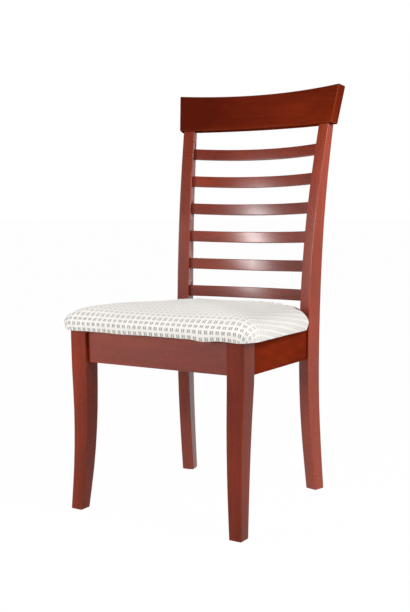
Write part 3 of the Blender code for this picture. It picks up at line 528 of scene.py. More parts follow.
@dataclass(frozen=True)
class CheckedWeave:
    """A cream cover cloth with rows of paired grey-brown dashes in a waffle check."""

    pitch: float = 0.0142
    cream: Colour = (0.83, 0.805, 0.765)
    # The grey of the painted shade in the check's recessed cells and between the threads, and of the soiled
    # patches.
    painted_shade_and_soil: Colour = (0.62, 0.585, 0.545)
    dash: Colour = (0.105, 0.082, 0.072)
    bar_offset: float = 0.165
    bar_half: float = 0.078
    bar_reach: float = 0.300
    bar_soft: float = 0.045
    cell_half: float = 0.33
    cell_soft: float = 0.07
    row_soft: float = 0.06
    dash_share: float = 0.92
    recess_shade_share: float = 0.60
    threads_per_metre: float = 1050.0

    def stripe(
        self, graph: Graph, value: Source, middle: float, half: float, soft: float
    ) -> bpy.types.NodeSocket:
        """A soft-edged stripe across a repeating value.

        Args:
            graph: The tree it is drawn in.
            value: A value that runs from 0 to 1 in each repeat.
            middle: Where in the repeat the stripe lies.
            half: Half its width.
            soft: Half the width of its edge.

        Returns:
            A mask's socket.
        """
        away = graph.math("ABSOLUTE", graph.math("SUBTRACT", value, middle))
        return graph.band(away, half + soft, half - soft)

    def material(self, effects: Effects) -> bpy.types.Material:
        """Makes the cloth, on the cover's own thread coordinates.

        Args:
            effects: The shared effects.

        Returns:
            The material.
        """
        material, graph, shader = new_material(
            "checked_weave", Roughness=0.88, Sheen_Weight=0.30, Specular_IOR_Level=0.25
        )
        threads = graph.add("UVMap", uv_map="threads").outputs[0]
        wobble = graph.math("MULTIPLY", graph.math("SUBTRACT", graph.noise(threads, 85.0, 2.0), 0.5), 0.10)
        u, v, _ = graph.split(threads)
        along = graph.math("FRACT", graph.math("MULTIPLY_ADD", u, 1 / self.pitch, wobble))
        down = graph.math("FRACT", graph.math("MULTIPLY_ADD", v, 1 / self.pitch, wobble))
        left = self.stripe(graph, along, 0.5 - self.bar_offset, self.bar_half, self.bar_soft)
        right = self.stripe(graph, along, 0.5 + self.bar_offset, self.bar_half, self.bar_soft)
        cell = self.stripe(graph, along, 0.5, self.cell_half, self.cell_soft)
        rows = self.stripe(graph, down, 0.5, self.bar_reach, self.row_soft)
        uneven = graph.band(graph.noise(threads, 420.0, 2.0, 5.0), 0.30, 0.60, 0.55, 1.0)
        dashes = graph.math("MULTIPLY", graph.math("MAXIMUM", left, right), rows)
        dashes = graph.math("MULTIPLY", dashes, uneven)
        # Painted sheen: the pattern and the recesses' painted shade fade on the crown and at the sides.
        kept = graph.math("SUBTRACT", 1.0, graph.attribute("painted_sheen_share"))
        dashes = graph.math("MULTIPLY", dashes, kept)
        # Painted shade darkens the recessed cells of the check.
        recess = graph.math("MULTIPLY", cell, rows)
        weave = graph.effect(effects.weave, Threads=threads, Count=self.threads_per_metre)
        shading = graph.math("MULTIPLY", graph.math("MULTIPLY", recess, kept), self.recess_shade_share)
        colour = graph.mix(shading, self.cream, self.painted_shade_and_soil)
        colour = graph.mix(graph.math("MULTIPLY", dashes, self.dash_share), colour, self.dash)
        # Painted shade darkens the gaps between the threads.
        painted_gap_shade = graph.math("MULTIPLY", weave.outputs["Gaps"], 0.30)
        colour = graph.mix(painted_gap_shade, colour, self.painted_shade_and_soil, "MULTIPLY")
        soil = graph.effect(effects.smudge, Place=threads, Reach=0.10)
        colour = graph.mix(soil.outputs["Smudge"], colour, self.painted_shade_and_soil)
        graph.wire(shader.inputs["Base Color"], colour)
        ribs = graph.math("SUBTRACT", 1.0, graph.math("MULTIPLY", recess, 0.8))
        height = graph.math("MULTIPLY_ADD", weave.outputs["Height"], 0.22, ribs)
        bumped(graph, shader, height, 0.55, 0.0008)
        return material


@dataclass(frozen=True)
class DustCloth:
    """The thin black cloth that closes the seat from below."""

    colour: Colour = (0.020, 0.020, 0.021)
    bare: Colour = (0.055, 0.054, 0.052)

    def material(self, effects: Effects) -> bpy.types.Material:
        """Makes the cloth, on the object's own coordinates.

        Args:
            effects: The shared effects.

        Returns:
            The material.
        """
        material, graph, shader = new_material("dust_cloth", Roughness=0.92)
        place = graph.add("TexCoord").outputs["Object"]
        weave = graph.effect(effects.weave, Threads=place, Count=1500.0)
        smudge = graph.effect(effects.smudge, Place=place, Reach=0.5)
        colour = graph.mix(smudge.outputs["Smudge"], self.colour, self.bare)
        graph.wire(shader.inputs["Base Color"], colour)
        bumped(graph, shader, weave.outputs["Height"], 0.3, 0.0002)
        return material


@dataclass(frozen=True)
class Foam:
    """The open-cell foam under the cover."""

    light: Colour = (0.80, 0.73, 0.52)
    dark: Colour = (0.60, 0.52, 0.34)

    def material(self, effects: Effects) -> bpy.types.Material:
        """Makes the foam, on the object's own coordinates.

        Args:
            effects: The shared effects.

        Returns:
            The material.
        """
        material, graph, shader = new_material("seat_foam", Roughness=0.95)
        place = graph.add("TexCoord").outputs["Object"]
        cells = graph.noise(place, 900.0, 2.0)
        smudge = graph.effect(effects.smudge, Place=place, Reach=0.5)
        colour = graph.mix(graph.band(cells, 0.45, 0.62), self.light, self.dark)
        colour = graph.mix(smudge.outputs["Smudge"], colour, self.light)
        graph.wire(shader.inputs["Base Color"], colour)
        bumped(graph, shader, cells, 0.4, 0.0005)
        return material


@dataclass(frozen=True)
class Hardware:
    """A plated or moulded fixing."""

    name: str
    colour: Colour
    rubbed: Colour
    metallic: float
    roughness: float
    unevenness: float = 0.2
    rubbing: float = 0.6

    def material(self, effects: Effects) -> bpy.types.Material:
        """Makes the fixing's surface, on the object's own coordinates.

        Args:
            effects: The shared effects.

        Returns:
            The material.
        """
        material, graph, shader = new_material(self.name, Metallic=self.metallic)
        place = graph.add("TexCoord").outputs["Object"]
        arris = graph.attribute("arris")
        wear = graph.effect(effects.wear, Arris=arris, Place=place, Amount=self.rubbing)
        graph.wire(
            shader.inputs["Base Color"], graph.mix(wear.outputs["Wear"], self.colour, self.rubbed)
        )
        roughened(graph, shader, effects, place, self.unevenness, self.roughness)
        bumped(graph, shader, graph.noise(place, 700.0, 2.0), 0.08, 0.0002)
        return material


# Objects


def show(name: str, data: bpy.types.ID) -> bpy.types.Object:
    """Puts a mesh, lamp or camera into the scene as an object of its own.

    Args:
        name: The object's name.
        data: What it shows.

    Returns:
        The object.
    """
    item = bpy.data.objects.new(name, data)
    bpy.context.scene.collection.objects.link(item)
    return item


def finished_mesh(bm: bmesh.types.BMesh, name: str, material: bpy.types.Material) -> bpy.types.Mesh:
    """Turns a shape into a smoothly shaded mesh with its material.

    Args:
        bm: The shape, which is used up.
        name: The mesh's name.
        material: What it is made of.

    Returns:
        The mesh.
    """
    mesh = bpy.data.meshes.new(name)
    bm.to_mesh(mesh)
    bm.free()
    mesh.polygons.foreach_set("use_smooth", [True] * len(mesh.polygons))
    mesh.materials.append(material)
    return mesh


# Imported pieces


def mark(piece: bpy.types.Object, name: str, values: list[float]) -> None:
    """Gives each vertex of a piece a number, which its material reads by name."""
    piece.data.attributes.new(name, "FLOAT", "POINT").data.foreach_set("value", values)


def mark_seed(piece: bpy.types.Object, seed: float) -> None:
    """Writes the number that sets a piece's grain apart."""
    mark(piece, "seed", [seed] * len(piece.data.vertices))


def mark_stain_and_painted_light(piece: bpy.types.Object, tones: tuple[float, float]) -> None:
    """Writes how light a piece's timber is from its left end to its right: partly its stain, partly painted
    light and shade.

    Args:
        piece: The piece.
        tones: How light it is at its left end and at its right, stain and painted light together.
    """
    places = [vert.co.x for vert in piece.data.vertices]
    low = min(places)
    reach = max(max(places) - low, MERGE)
    mark(piece, "stain_and_painted_light", [tones[0] + (tones[1] - tones[0]) * (place - low) / reach for place in places])


def place_key(point: Vector) -> tuple[int, int, int]:
    """A point as whole steps of the merge distance, to find it again in another mesh."""
    return tuple(round(value / (4 * MERGE)) for value in point)


def mark_arrises(
    piece: bpy.types.Object, low: float = 8.0, high: float = 20.0, narrow: float = 0.0012
) -> None:
    """Writes a piece's arris attribute: how sharply its surface turns within a rounded edge.

    Args:
        piece: The piece, whose vertices stay where they are.
        low: The turn in degrees up to which the attribute is 0.
        high: The turn in degrees from which it is 1.
        narrow: Half the width of the widest facet that still counts as part of an edge.
    """
    bm = bmesh.new()
    bm.from_mesh(piece.data)
    bmesh.ops.remove_doubles(bm, verts=bm.verts, dist=MERGE)
    turns = {}
    for vert in bm.verts:
        turn = max((abs(edge.calc_face_angle(0.0)) for edge in vert.link_edges), default=0.0)
        widths = (2 * face.calc_area() / face.calc_perimeter() for face in vert.link_faces)
        share = (math.degrees(turn) - low) / (high - low) if max(widths) < narrow else 0.0
        turns[place_key(vert.co)] = min(max(share, 0.0), 1.0)
    bm.free()
    mark(piece, "arris", [turns.get(place_key(vert.co), 0.0) for vert in piece.data.vertices])


def smooth(piece: bpy.types.Object) -> None:
    """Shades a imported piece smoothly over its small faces, with its flats kept flat.

    Args:
        piece: The piece.
    """
    if "custom_normal" in piece.data.attributes:
        piece.data.attributes.remove(piece.data.attributes["custom_normal"])
    piece.data.polygons.foreach_set("use_smooth", [True] * len(piece.data.polygons))
    weld = piece.modifiers.new("weld", "WELD")
    weld.merge_threshold = MERGE
    normals = piece.modifiers.new("flat_faces", "WEIGHTED_NORMAL")
    normals.mode = "FACE_AREA"
    normals.weight = FLAT_WEIGHT


def dress(
    name: str,
    material: bpy.types.Material,
    seed: float = 0.0,
    tones: tuple[float, float] = (0.3, 0.3),
    rounded: bool = True,
) -> None:
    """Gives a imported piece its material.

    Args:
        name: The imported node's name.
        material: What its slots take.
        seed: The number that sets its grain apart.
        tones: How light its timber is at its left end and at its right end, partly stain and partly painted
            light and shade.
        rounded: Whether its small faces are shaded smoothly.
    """
    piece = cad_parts[name]
    for slot in piece.material_slots:
        slot.material = material
    mark_seed(piece, seed)
    mark_stain_and_painted_light(piece, tones)
    mark_arrises(piece)
    if rounded:
        smooth(piece)
    log.info("dressed %s in %s", name, material.name)


@dataclass
class WoodFrame:
    """The legs, posts, aprons, crest rail and slats."""

    effects: Effects
    polished: Lacquer = Lacquer("polished_cherry", 0.46)
    satin: Lacquer = Lacquer("satin_cherry", 0.18)
    rubbed: Lacquer = Lacquer("rubbed_cherry", 0.0)
    slats: int = 6

    def dress_upright(self) -> None:
        """Dresses the legs and the back posts."""
        satin = self.satin.material(self.effects, Grain.UPRIGHT)
        polished = self.polished.material(self.effects, Grain.UPRIGHT)
        # Each pair is a piece's lightness at its left and right ends, partly stain and partly painted light
        # and shade: the right back post is painted lighter.
        dress("front_leg_left", satin, 1.7, (0.52, 0.20))
        dress("front_leg_right", satin, 4.0, (0.05, 0.12))
        dress("back_post_left", polished, 6.3, (0.12, 0.24))
        dress("back_post_right", polished, 8.6, (0.40, 0.64))

    def dress_aprons(self) -> None:
        """Dresses the side aprons, whose grain runs front to back."""
        material = self.rubbed.material(self.effects, Grain.FRONT_TO_BACK)
        for number, name in enumerate(("side_apron_left", "side_apron_right")):
            dress(name, material, 31.0 + 4.1 * number, (0.10, 0.10))

    def dress_across(self) -> None:
        """Dresses the crest rail, the rear and front aprons and the slats."""
        rubbed = self.rubbed.material(self.effects, Grain.ACROSS)
        polished = self.polished.material(self.effects, Grain.ACROSS)
        # Each pair is a piece's lightness at its left and right ends, partly stain and partly painted light:
        # the front apron has a painted highlight towards its left end.
        dress("crest_rail", rubbed, 59.6, (-0.16, 0.14))
        dress("rear_apron", rubbed, 56.3, (0.20, 0.20))
        dress("front_apron", polished, 53.0, (0.55, 0.24))
        for number in range(1, self.slats + 1):
            dress("slat_%d" % number, polished, 59.6 + 3.3 * number, (0.20, 0.20))

    def build(self) -> None:
        """Dresses every piece of the frame."""
        self.dress_upright()
        self.dress_aprons()
        self.dress_across()


@dataclass
class Fixings:
    """The corner blocks, dowels, screws and glides."""

    effects: Effects
    beech: RawTimber = RawTimber("raw_beech", (0.56, 0.39, 0.235), (0.37, 0.235, 0.13))
    zinc: Hardware = Hardware("zinc_plate", (0.56, 0.53, 0.46), (0.72, 0.70, 0.66), 1.0, 0.28)
    nylon: Hardware = Hardware("moulded_nylon", (0.020, 0.014, 0.011), (0.06, 0.05, 0.045), 0.0, 0.38)

    def build(self) -> None:
        """Dresses each fixing by the kind its name starts with."""
        beech = self.beech.material(self.effects, Grain.ACROSS)
        zinc = self.zinc.material(self.effects)
        nylon = self.nylon.material(self.effects)
        kinds = (
            ("corner_block", beech),
            ("apron_dowel", beech),
            ("crest_dowel", beech),
            ("block_screw", zinc),
            ("seat_screw", zinc),
            ("glide", nylon),
        )
        for kind, material in kinds:
            found = sorted(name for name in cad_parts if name.startswith(kind))
            for number, name in enumerate(found):
                dress(name, material, 80.0 + 1.9 * number, rounded=False)


# Seat


@dataclass(frozen=True)
class PlanCorner:
    """A corner of the seat's plan on the right side, with its rounding."""

    x: float
    y: float
    radius: float
    steps: int


@dataclass(frozen=True)
class SeatPlan:
    """The seat's plan, which slopes down to the rear on the rails' tops."""

    corners: tuple[PlanCorner, ...] = (
        PlanCorner(0.25858, -0.2616, 0.036, 10),
        PlanCorner(0.19582, 0.11769, 0.0452, 10),
        PlanCorner(0.15366, 0.12836, 0.002, 2),
        PlanCorner(0.16286, 0.16470, 0.008, 4),
    )
    slope: float = math.radians(2.85)
    rail_top: float = 0.4162
    pivot_y: float = -0.2170
    middle_y: float = -0.05915
    edge_step: float = 0.0080

    def lift(self, x: float, y: float, rise: float) -> Vector:
        """A point of the plan brought to a rise above the rails' tops, square to the slope."""
        height = self.rail_top - math.tan(self.slope) * (y - self.pivot_y)
        return Vector((x, y + rise * math.sin(self.slope), height + rise * math.cos(self.slope)))

    def outline(self) -> list[Vector]:
        """Draws the seat's plan with its corners rounded and its edges divided evenly.

        Returns:
            The plan's points in order.
        """
        right = [(Vector((c.x, c.y, 0.0)), c.radius, c.steps) for c in self.corners]
        left = [(Vector((-c.x, c.y, 0.0)), c.radius, c.steps) for c in reversed(self.corners)]
        turns = right + left
        rounded = []
        for index, (corner, radius, steps) in enumerate(turns):
            to_last = (turns[index - 1][0] - corner).normalized()
            to_next = (turns[(index + 1) % len(turns)][0] - corner).normalized()
            half = to_last.angle(to_next) / 2
            centre = corner + (to_last + to_next).normalized() * radius / math.sin(half)
            start = corner + to_last * radius / math.tan(half) - centre
            end = corner + to_next * radius / math.tan(half) - centre
            sweep = start.angle(end)
            for step in range(steps + 1):
                share = step / steps
                arm = start * math.sin((1 - share) * sweep) + end * math.sin(share * sweep)
                rounded.append(centre + arm / math.sin(sweep))
        divided = []
        for index, point in enumerate(rounded):
            following = rounded[(index + 1) % len(rounded)]
            pieces = max(1, round((following - point).length / self.edge_step))
            divided += [point.lerp(following, piece / pieces) for piece in range(pieces)]
        return divided

    def normals(self, outline: list[Vector]) -> list[Vector]:
        """Finds the outward direction at each point of the plan, lengthened where it turns.

        Args:
            outline: The plan's points in order.

        Returns:
            The direction at each point.
        """
        found = []
        count = len(outline)
        for index, point in enumerate(outline):
            ahead = (outline[(index + 1) % count] - point).normalized()
            behind = (point - outline[index - 1]).normalized()
            normal = Vector((ahead.y + behind.y, -ahead.x - behind.x, 0.0)).normalized()
            found.append(normal / max(normal.dot(Vector((ahead.y, -ahead.x, 0.0))), 0.5))
        return found


@dataclass
class SeatCushion:
    """The padded seat in its cover, crowned and pulled under the board all round."""

    effects: Effects
    cloth: CheckedWeave = CheckedWeave()
    plan: SeatPlan = SeatPlan()
    row_step: float = 0.0062
    # Samples of the hem, passed over in the search for the turn onto the crown
    hem_rows: int = 8
    # Row steps of cloth tucked under, which follow the plan's own normals all the way
    tucked_steps: int = 4
    parallel: float = 0.006
    # Each row is a rise above the rails and how far the surface stands out from the plan there
    profile: tuple[tuple[float, float], ...] = (
        (0.0012, -0.0280),
        (0.0012, -0.0090),
        (0.0011, -0.0012),
        (0.0045, 0.0006),
        (0.0100, 0.0022),
        (0.0160, 0.0039),
        (0.0240, 0.0034),
        (0.0323, -0.0025),
        (0.0417, -0.0125),
        (0.0491, -0.0300),
        (0.0560, -0.0600),
        (0.0612, -0.1020),
        (0.0646, -0.1450),
    )
    crown: float = 0.0662
    thickening: float = 0.0193
    thickening_from: float = 0.016
    thickening_full: float = 0.042
    inner_rings: tuple[float, ...] = (0.88, 0.76, 0.64, 0.52, 0.40, 0.28, 0.16)
    held_below: float = 0.0040
    cap: float = 0.0013
    pressure: float = 4.0
    stretch_stiffness: float = 22.0
    bend_stiffness: float = 3.0
    cloth_mass: float = 0.4
    cloth_steps: int = 4
    frames: int = 20
    hem_front: float = -0.215
    hem_blend: float = 0.030
    hem_fade: float = 0.016
    ripple: float = 0.0007
    ripples_per_metre: float = 42.0
    # How much the painted sheen fades the pattern on the crown and at the sides, from where and over what
    # reach.
    crown_sheen: float = 0.62
    crown_sheen_from: float = 0.036
    crown_sheen_over: float = 0.022
    side_sheen: float = 0.50
    side_sheen_from: float = 0.55
    side_sheen_over: float = 0.40
    # Each row is where the hem dips along the front, half the dip's width and its depth
    dips: tuple[tuple[float, float, float], ...] = (
        (0.138, 0.024, 0.0042),
        (0.226, 0.020, 0.0024),
        (-0.078, 0.030, 0.0018),
        (-0.205, 0.018, 0.0010),
    )

    def point(self, x: float, y: float, rise: float) -> Vector:
        """Places a point of the cover at a rise that grows to the rear with the padding.

        Args:
            x: Its place across the plan.
            y: Its place along the plan.
            rise: Its rise above the rails' tops.

        Returns:
            The point.
        """
        share = (rise - self.thickening_from) / (self.thickening_full - self.thickening_from)
        rise += self.thickening * min(max(share, 0.0), 1.0) * (y - self.plan.middle_y)
        return self.plan.lift(x, y, rise)

    def rows(self) -> list[tuple[float, float, float]]:
        """Samples the profile on a smooth curve.

        Returns:
            Each sample's rise, reach and length along the cloth.
        """
        samples = []
        last = len(self.profile) - 1
        for index in range(last):
            before = Vector(self.profile[max(index - 1, 0)])
            start = Vector(self.profile[index])
            end = Vector(self.profile[index + 1])
            after = Vector(self.profile[min(index + 2, last)])
            pieces = max(2, round((end - start).length / self.row_step))
            for piece in range(pieces):
                t = piece / pieces
                curve = (
                    2 * start
                    + (end - before) * t
                    + (2 * before - 5 * start + 4 * end - after) * t**2
                    + (3 * start - before - 3 * end + after) * t**3
                ) / 2
                samples.append(curve)
        samples.append(Vector(self.profile[last]))
        rows = []
        length = 0.0
        for index, sample in enumerate(samples):
            if index:
                length += (sample - samples[index - 1]).length
            rows.append((sample.x, sample.y, length))
        return rows

    def hem_drop(self, x: float, y: float) -> float:
        """Finds how far the hem dips at a place of the plan.

        Args:
            x: The place across the plan.
            y: The place along the plan.

        Returns:
            The dip, in metres.
        """
        along_front = max(0.0, min(1.0, (self.hem_front - y) / self.hem_blend))
        drop = sum(depth * math.exp(-(((x - at) / half) ** 2)) for at, half, depth in self.dips)
        spot = Vector((x * self.ripples_per_metre, y * self.ripples_per_metre, 4.2))
        ripple = self.ripple * noise.noise(spot)
        return drop * along_front + ripple

    def painted_sheen(self, rise: float, normal: Vector) -> float:
        """Paints sheen onto the cover by fading its pattern: most on the crown, some at the sides.

        Args:
            rise: The place's rise above the rails' tops.
            normal: The plan's outward direction there.

        Returns:
            The share of the pattern that the painted sheen takes away.
        """
        up = min(max((rise - self.crown_sheen_from) / self.crown_sheen_over, 0.0), 1.0)
        aside = min(max((abs(normal.x) - self.side_sheen_from) / self.side_sheen_over, 0.0), 1.0)
        return max(self.crown_sheen * up, self.side_sheen * aside)

    def build_mesh(self) -> tuple[bpy.types.Mesh, list[int]]:
        """Draws the plan up through the profile.

        Returns:
            The closed mesh, with its thread coordinates, and the indices of the vertices that
            the staples hold.
        """
        outline = self.plan.outline()
        normals = self.plan.normals(outline)
        rows = self.rows()
        middle = Vector((0.0, self.plan.middle_y, 0.0))
        turn_length = next(length for _, out, length in rows[self.hem_rows :] if out < -self.parallel)
        bm = bmesh.new()
        painted_sheen_share = bm.verts.layers.float.new("painted_sheen_share")
        threads = {}
        held = set()
        face = None
        rings = []
        for rise, out, length in rows:
            held_out = max(out, -self.parallel) if length > self.row_step * self.tucked_steps else out
            ring = []
            for point, normal in zip(outline, normals):
                moved = point + normal * held_out
                moved += (middle - moved).normalized() * (held_out - out)
                fade = max(0.0, 1.0 - abs(rise - self.held_below) / self.hem_fade)
                place = self.point(moved.x, moved.y, rise - self.hem_drop(point.x, point.y) * fade)
                reach = turn_length - length
                cloth = point + normal * (reach - self.parallel) if reach > 0 else moved
                ring.append((place, cloth, self.painted_sheen(rise, normal)))
            rings.append((rise, ring))
        top = [cloth for _, cloth, _ in rings[-1][1]]
        for share in self.inner_rings:
            rise = self.crown - (self.crown - rows[-1][0]) * share**2
            ring = []
            for cloth in top:
                moved = middle.lerp(cloth, share)
                ring.append((self.point(moved.x, moved.y, rise), moved, self.painted_sheen(rise, middle)))
            rings.append((rise, ring))
        for rise, ring in rings:
            if face is None:
                face = bm.faces.new([bm.verts.new(place) for place, _, _ in ring])
                bottom = face
            else:
                extruded = bmesh.ops.extrude_face_region(bm, geom=[face])
                if face is not bottom:
                    bmesh.ops.delete(bm, geom=[face], context="FACES_ONLY")
                face = next(item for item in extruded["geom"] if isinstance(item, bmesh.types.BMFace))
                for vert, (place, _, _) in zip(face.verts, ring):
                    vert.co = place
            for vert, (_, cloth, painted_sheen) in zip(face.verts, ring):
                threads[vert] = cloth
                vert[painted_sheen_share] = painted_sheen
                if rise < self.held_below:
                    held.add(vert)
        bmesh.ops.triangulate(bm, faces=[face, bottom])
        bmesh.ops.recalc_face_normals(bm, faces=bm.faces)
        layer = bm.loops.layers.uv.new("threads")
        for item in bm.faces:
            for loop in item.loops:
                cloth = threads.get(loop.vert, loop.vert.co)
                loop[layer].uv = (cloth.x, cloth.y)
        bm.verts.index_update()
        indices = [vert.index for vert in held]
        return finished_mesh(bm, "seat_cushion", self.cloth.material(self.effects)), indices

    def inflate(self, piece: bpy.types.Object, held: list[int]) -> None:
        """Lets the cover swell off its padding as cloth, outwards and no further than the cap.

        Args:
            piece: The cushion.
            held: The indices of the vertices that don't move.
        """
        group = piece.vertex_groups.new(name="held")
        group.add(held, 1.0, "REPLACE")
        rest = [(vert.co.copy(), vert.normal.copy()) for vert in piece.data.vertices]
        cloth = piece.modifiers.new("cloth", "CLOTH")
        settings = cloth.settings
        settings.quality = self.cloth_steps
        settings.mass = self.cloth_mass
        settings.tension_stiffness = self.stretch_stiffness
        settings.compression_stiffness = self.stretch_stiffness
        settings.bending_stiffness = self.bend_stiffness
        settings.use_pressure = True
        settings.uniform_pressure_force = self.pressure
        settings.vertex_group_mass = group.name
        settings.effector_weights.gravity = 0.0
        scene = bpy.context.scene
        for number in range(1, self.frames + 1):
            scene.frame_set(number)
        evaluated = piece.evaluated_get(bpy.context.evaluated_depsgraph_get())
        swollen = [vert.co.copy() for vert in evaluated.data.vertices]
        piece.modifiers.remove(cloth)
        scene.frame_set(1)
        furthest = 0.0
        for vert, (start, normal), end in zip(piece.data.vertices, rest, swollen):
            outward = max((end - start).dot(normal), 0.0)
            kept = self.cap * (1.0 - math.exp(-outward / self.cap))
            furthest = max(furthest, kept)
            vert.co = start + normal * kept
        log.info("cushion swelled by up to %.1f mm", furthest * 1000)

    def build(self) -> bpy.types.Object:
        """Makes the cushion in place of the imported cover.

        Returns:
            The cushion.
        """
        mesh, held = self.build_mesh()
        piece = show("seat_cushion", mesh)
        self.inflate(piece, held)
        finer = piece.modifiers.new("finer", "SUBSURF")
        finer.levels = 1
        finer.render_levels = 1
        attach(piece, BODY)
        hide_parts("seat_cover")
        log.info("made %s with %d faces", piece.name, len(mesh.polygons))
        return piece


@dataclass
class DustSheet:
    """The thin cloth stapled under the board, which hangs a little between the rails."""

    effects: Effects
    cloth: DustCloth = DustCloth()
    plan: SeatPlan = SeatPlan()
    parallel: float = 0.006
    inset: float = 0.024
    rise: float = 0.0008
    thickness: float = 0.0005
    sag: float = 0.0025
    sag_reach: float = 0.62
    inner_rings: tuple[float, ...] = (0.94, 0.86, 0.76, 0.64, 0.50, 0.34, 0.18)

    def build(self) -> bpy.types.Object:
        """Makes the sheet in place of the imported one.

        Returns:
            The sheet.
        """
        outline = self.plan.outline()
        middle = Vector((0.0, self.plan.middle_y, 0.0))
        edge = []
        for point, normal in zip(outline, self.plan.normals(outline)):
            moved = point - normal * self.parallel
            edge.append(moved + (middle - moved).normalized() * (self.inset - self.parallel))
        bm = bmesh.new()
        face = bm.faces.new([bm.verts.new(at) for at in edge])
        area = face.calc_area() / math.cos(self.plan.slope)
        for share in self.inner_rings:
            extruded = bmesh.ops.extrude_face_region(bm, geom=[face])
            bmesh.ops.delete(bm, geom=[face], context="FACES_ONLY")
            face = next(item for item in extruded["geom"] if isinstance(item, bmesh.types.BMFace))
            for vert, at in zip(face.verts, edge):
                vert.co = middle.lerp(at, share)
        bmesh.ops.triangulate(bm, faces=[face])
        ray = max((at - middle).length for at in edge)
        for vert in bm.verts:
            fade = 1.0 - min(1.0, (vert.co - middle).length / (self.sag_reach * ray)) ** 2
            vert.co = self.plan.lift(vert.co.x, vert.co.y, self.rise - self.sag * fade**2)
        bmesh.ops.recalc_face_normals(bm, faces=bm.faces)
        bmesh.ops.solidify(bm, geom=bm.faces[:], thickness=self.thickness)
        bmesh.ops.recalc_face_normals(bm, faces=bm.faces)
        piece = show("dust_sheet", finished_mesh(bm, "dust_sheet", self.cloth.material(self.effects)))
        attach(piece, BODY)
        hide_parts("dust_cover")
        return piece


@dataclass
class SeatInside:
    """The board and foam inside the seat."""

    effects: Effects
    plywood: RawTimber = RawTimber("raw_plywood", (0.52, 0.38, 0.24), (0.36, 0.24, 0.14))
    foam: Foam = Foam()

    def build(self) -> None:
        """Dresses the seat's layers."""
        dress("seat_board", self.plywood.material(self.effects, Grain.ACROSS), 7.0, rounded=False)
        dress("seat_foam", self.foam.material(self.effects), 0.0, rounded=False)


# Studio


@dataclass(frozen=True)
class Softbox:
    """A rectangular studio lamp that faces a point of the chair."""

    name: str
    place: tuple[float, float, float]
    target: tuple[float, float, float]
    width: float
    height: float
    power: float

    def build(self) -> None:
        """Adds the lamp."""
        lamp = bpy.data.lights.new(self.name, "AREA")
        lamp.shape = "RECTANGLE"
        lamp.size = self.width
        lamp.size_y = self.height
        lamp.energy = self.power
        stand = show(self.name, lamp)
        place = Vector(self.place)
        aim = (Vector(self.target) - place).to_track_quat("-Z", "Y").to_matrix().to_4x4()
        stand.matrix_world = Matrix.Translation(place) @ aim
        log.info("lit %s", self.name)


@dataclass(frozen=True)
class PhotoCamera:
    """The camera at the picture's viewpoint."""

    place: tuple[float, float, float] = (1.24046, -1.94833, 0.70519)
    yaw: float = math.radians(32.955)
    pitch: float = math.radians(6.066)
    roll: float = math.radians(-0.807)
    lens: float = 57.66

    def build(self) -> None:
        """Adds the camera and makes it the scene's own."""
        yaw, pitch, roll = self.yaw, self.pitch, self.roll
        forward = Vector(
            (-math.sin(yaw) * math.cos(pitch), math.cos(yaw) * math.cos(pitch), -math.sin(pitch))
        )
        level = Vector((math.cos(yaw), math.sin(yaw), 0.0))
        upright = level.cross(forward)
        right = level * math.cos(roll) + upright * math.sin(roll)
        up = upright * math.cos(roll) - level * math.sin(roll)
        camera = bpy.data.cameras.new("photo_camera")
        camera.lens = self.lens
        camera.sensor_width = 36.0
        camera.sensor_fit = "AUTO"
        stand = show("photo_camera", camera)
        turn = Matrix((right, up, -forward)).transposed().to_4x4()
        stand.matrix_world = Matrix.Translation(Vector(self.place)) @ turn
        bpy.context.scene.camera = stand


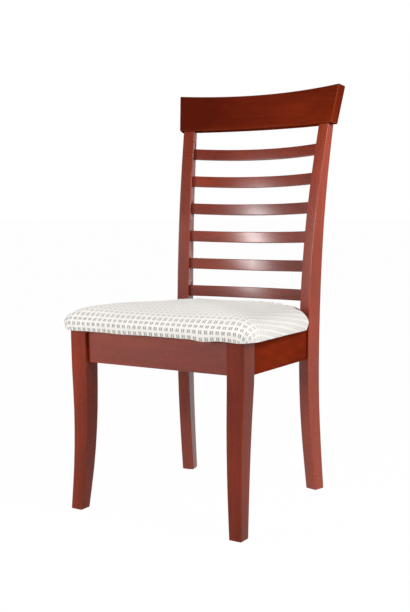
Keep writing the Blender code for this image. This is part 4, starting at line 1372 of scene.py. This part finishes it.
@dataclass
class Studio:
    """The white floor, the pale surroundings, the lamps and the camera."""

    floor_reach: float = 30.0
    floor_colour: Colour = (0.86, 0.86, 0.86)
    floor_white: float = 0.985
    low_light: float = 0.24
    high_light: float = 0.12
    softboxes: tuple[Softbox, ...] = (
        Softbox("low_left_box", (-1.76, -2.67, 1.22), (0.0, 0.0, 0.60), 0.55, 0.90, 64.0),
        Softbox("front_box", (0.9, -3.0, 1.9), (0.0, 0.0, 0.45), 1.6, 1.2, 8.0),
        Softbox("right_box", (2.6, -0.5, 2.1), (0.0, 0.0, 0.45), 1.6, 1.4, 88.0),
        Softbox("top_box", (-0.2, -0.2, 3.0), (0.0, 0.0, 0.5), 1.8, 1.8, 8.0),
    )

    def seen(self, graph: Graph) -> bpy.types.NodeSocket:
        """Tells whether a ray comes from the camera, straight, mirrored or through glass.

        Args:
            graph: The material's graph.

        Returns:
            The socket that says whether it does.
        """
        path = graph.add("LightPath")
        mirrored = graph.math("MAXIMUM", path.outputs["Is Glossy Ray"], path.outputs["Is Transmission Ray"])
        return graph.math("MAXIMUM", path.outputs["Is Camera Ray"], mirrored)

    def build_floor(self) -> None:
        """Adds a wide white floor that keeps a soft shadow."""
        bm = bmesh.new()
        bmesh.ops.create_grid(bm, x_segments=1, y_segments=1, size=self.floor_reach)
        mesh = bpy.data.meshes.new("floor")
        bm.to_mesh(mesh)
        bm.free()
        floor = show("floor", mesh)
        material = bpy.data.materials.new("white_floor")
        material.use_nodes = True
        graph = Graph(material.node_tree)
        material.node_tree.nodes.clear()
        plain = graph.add("BsdfDiffuse")
        plain.inputs["Color"].default_value = (*self.floor_colour, 1.0)
        white = graph.add("Emission")
        share = graph.math("MULTIPLY", self.seen(graph), self.floor_white)
        both = graph.add("MixShader")
        graph.wire(both.inputs[0], share)
        graph.wire(both.inputs[1], plain.outputs[0])
        graph.wire(both.inputs[2], white.outputs[0])
        output = graph.add("OutputMaterial")
        graph.wire(output.inputs["Surface"], both.outputs[0])
        mesh.materials.append(material)

    def build_world(self) -> None:
        """Makes the surroundings white to the camera and graded from low to high for the light."""
        world = bpy.data.worlds.new("studio")
        world.use_nodes = True
        bpy.context.scene.world = world
        graph = Graph(world.node_tree)
        world.node_tree.nodes.clear()
        direction = graph.add("TexCoord").outputs["Generated"]
        rise = graph.split(direction)[2]
        level = graph.band(rise, 0.0, 0.75, self.low_light, self.high_light)
        path = graph.add("LightPath")
        backdrop = graph.math("MULTIPLY", self.seen(graph), graph.band(rise, 0.35, 0.22))
        backdrop = graph.math("MAXIMUM", backdrop, path.outputs["Is Camera Ray"])
        lifted = graph.math("MULTIPLY_ADD", graph.math("SUBTRACT", 1.0, level), backdrop, level)
        sky = graph.add("Background")
        sky.inputs["Color"].default_value = (1.0, 1.0, 1.0, 1.0)
        graph.wire(sky.inputs["Strength"], lifted)
        output = graph.add("OutputWorld")
        graph.wire(output.inputs["Surface"], sky.outputs[0])

    def build(self) -> None:
        """Builds the studio and sets the view."""
        self.build_floor()
        self.build_world()
        for softbox in self.softboxes:
            softbox.build()
        PhotoCamera().build()
        bpy.context.scene.view_settings.view_transform = "Standard"


def main() -> None:
    """Builds the studio and dresses every piece of the chair."""
    logging.basicConfig(level=logging.INFO, format="%(name)s: %(message)s")
    Studio().build()
    effects = Effects.make()
    WoodFrame(effects).build()
    Fixings(effects).build()
    SeatInside(effects).build()
    SeatCushion(effects).build()
    DustSheet(effects).build()


if __name__ == "__main__":
    main()
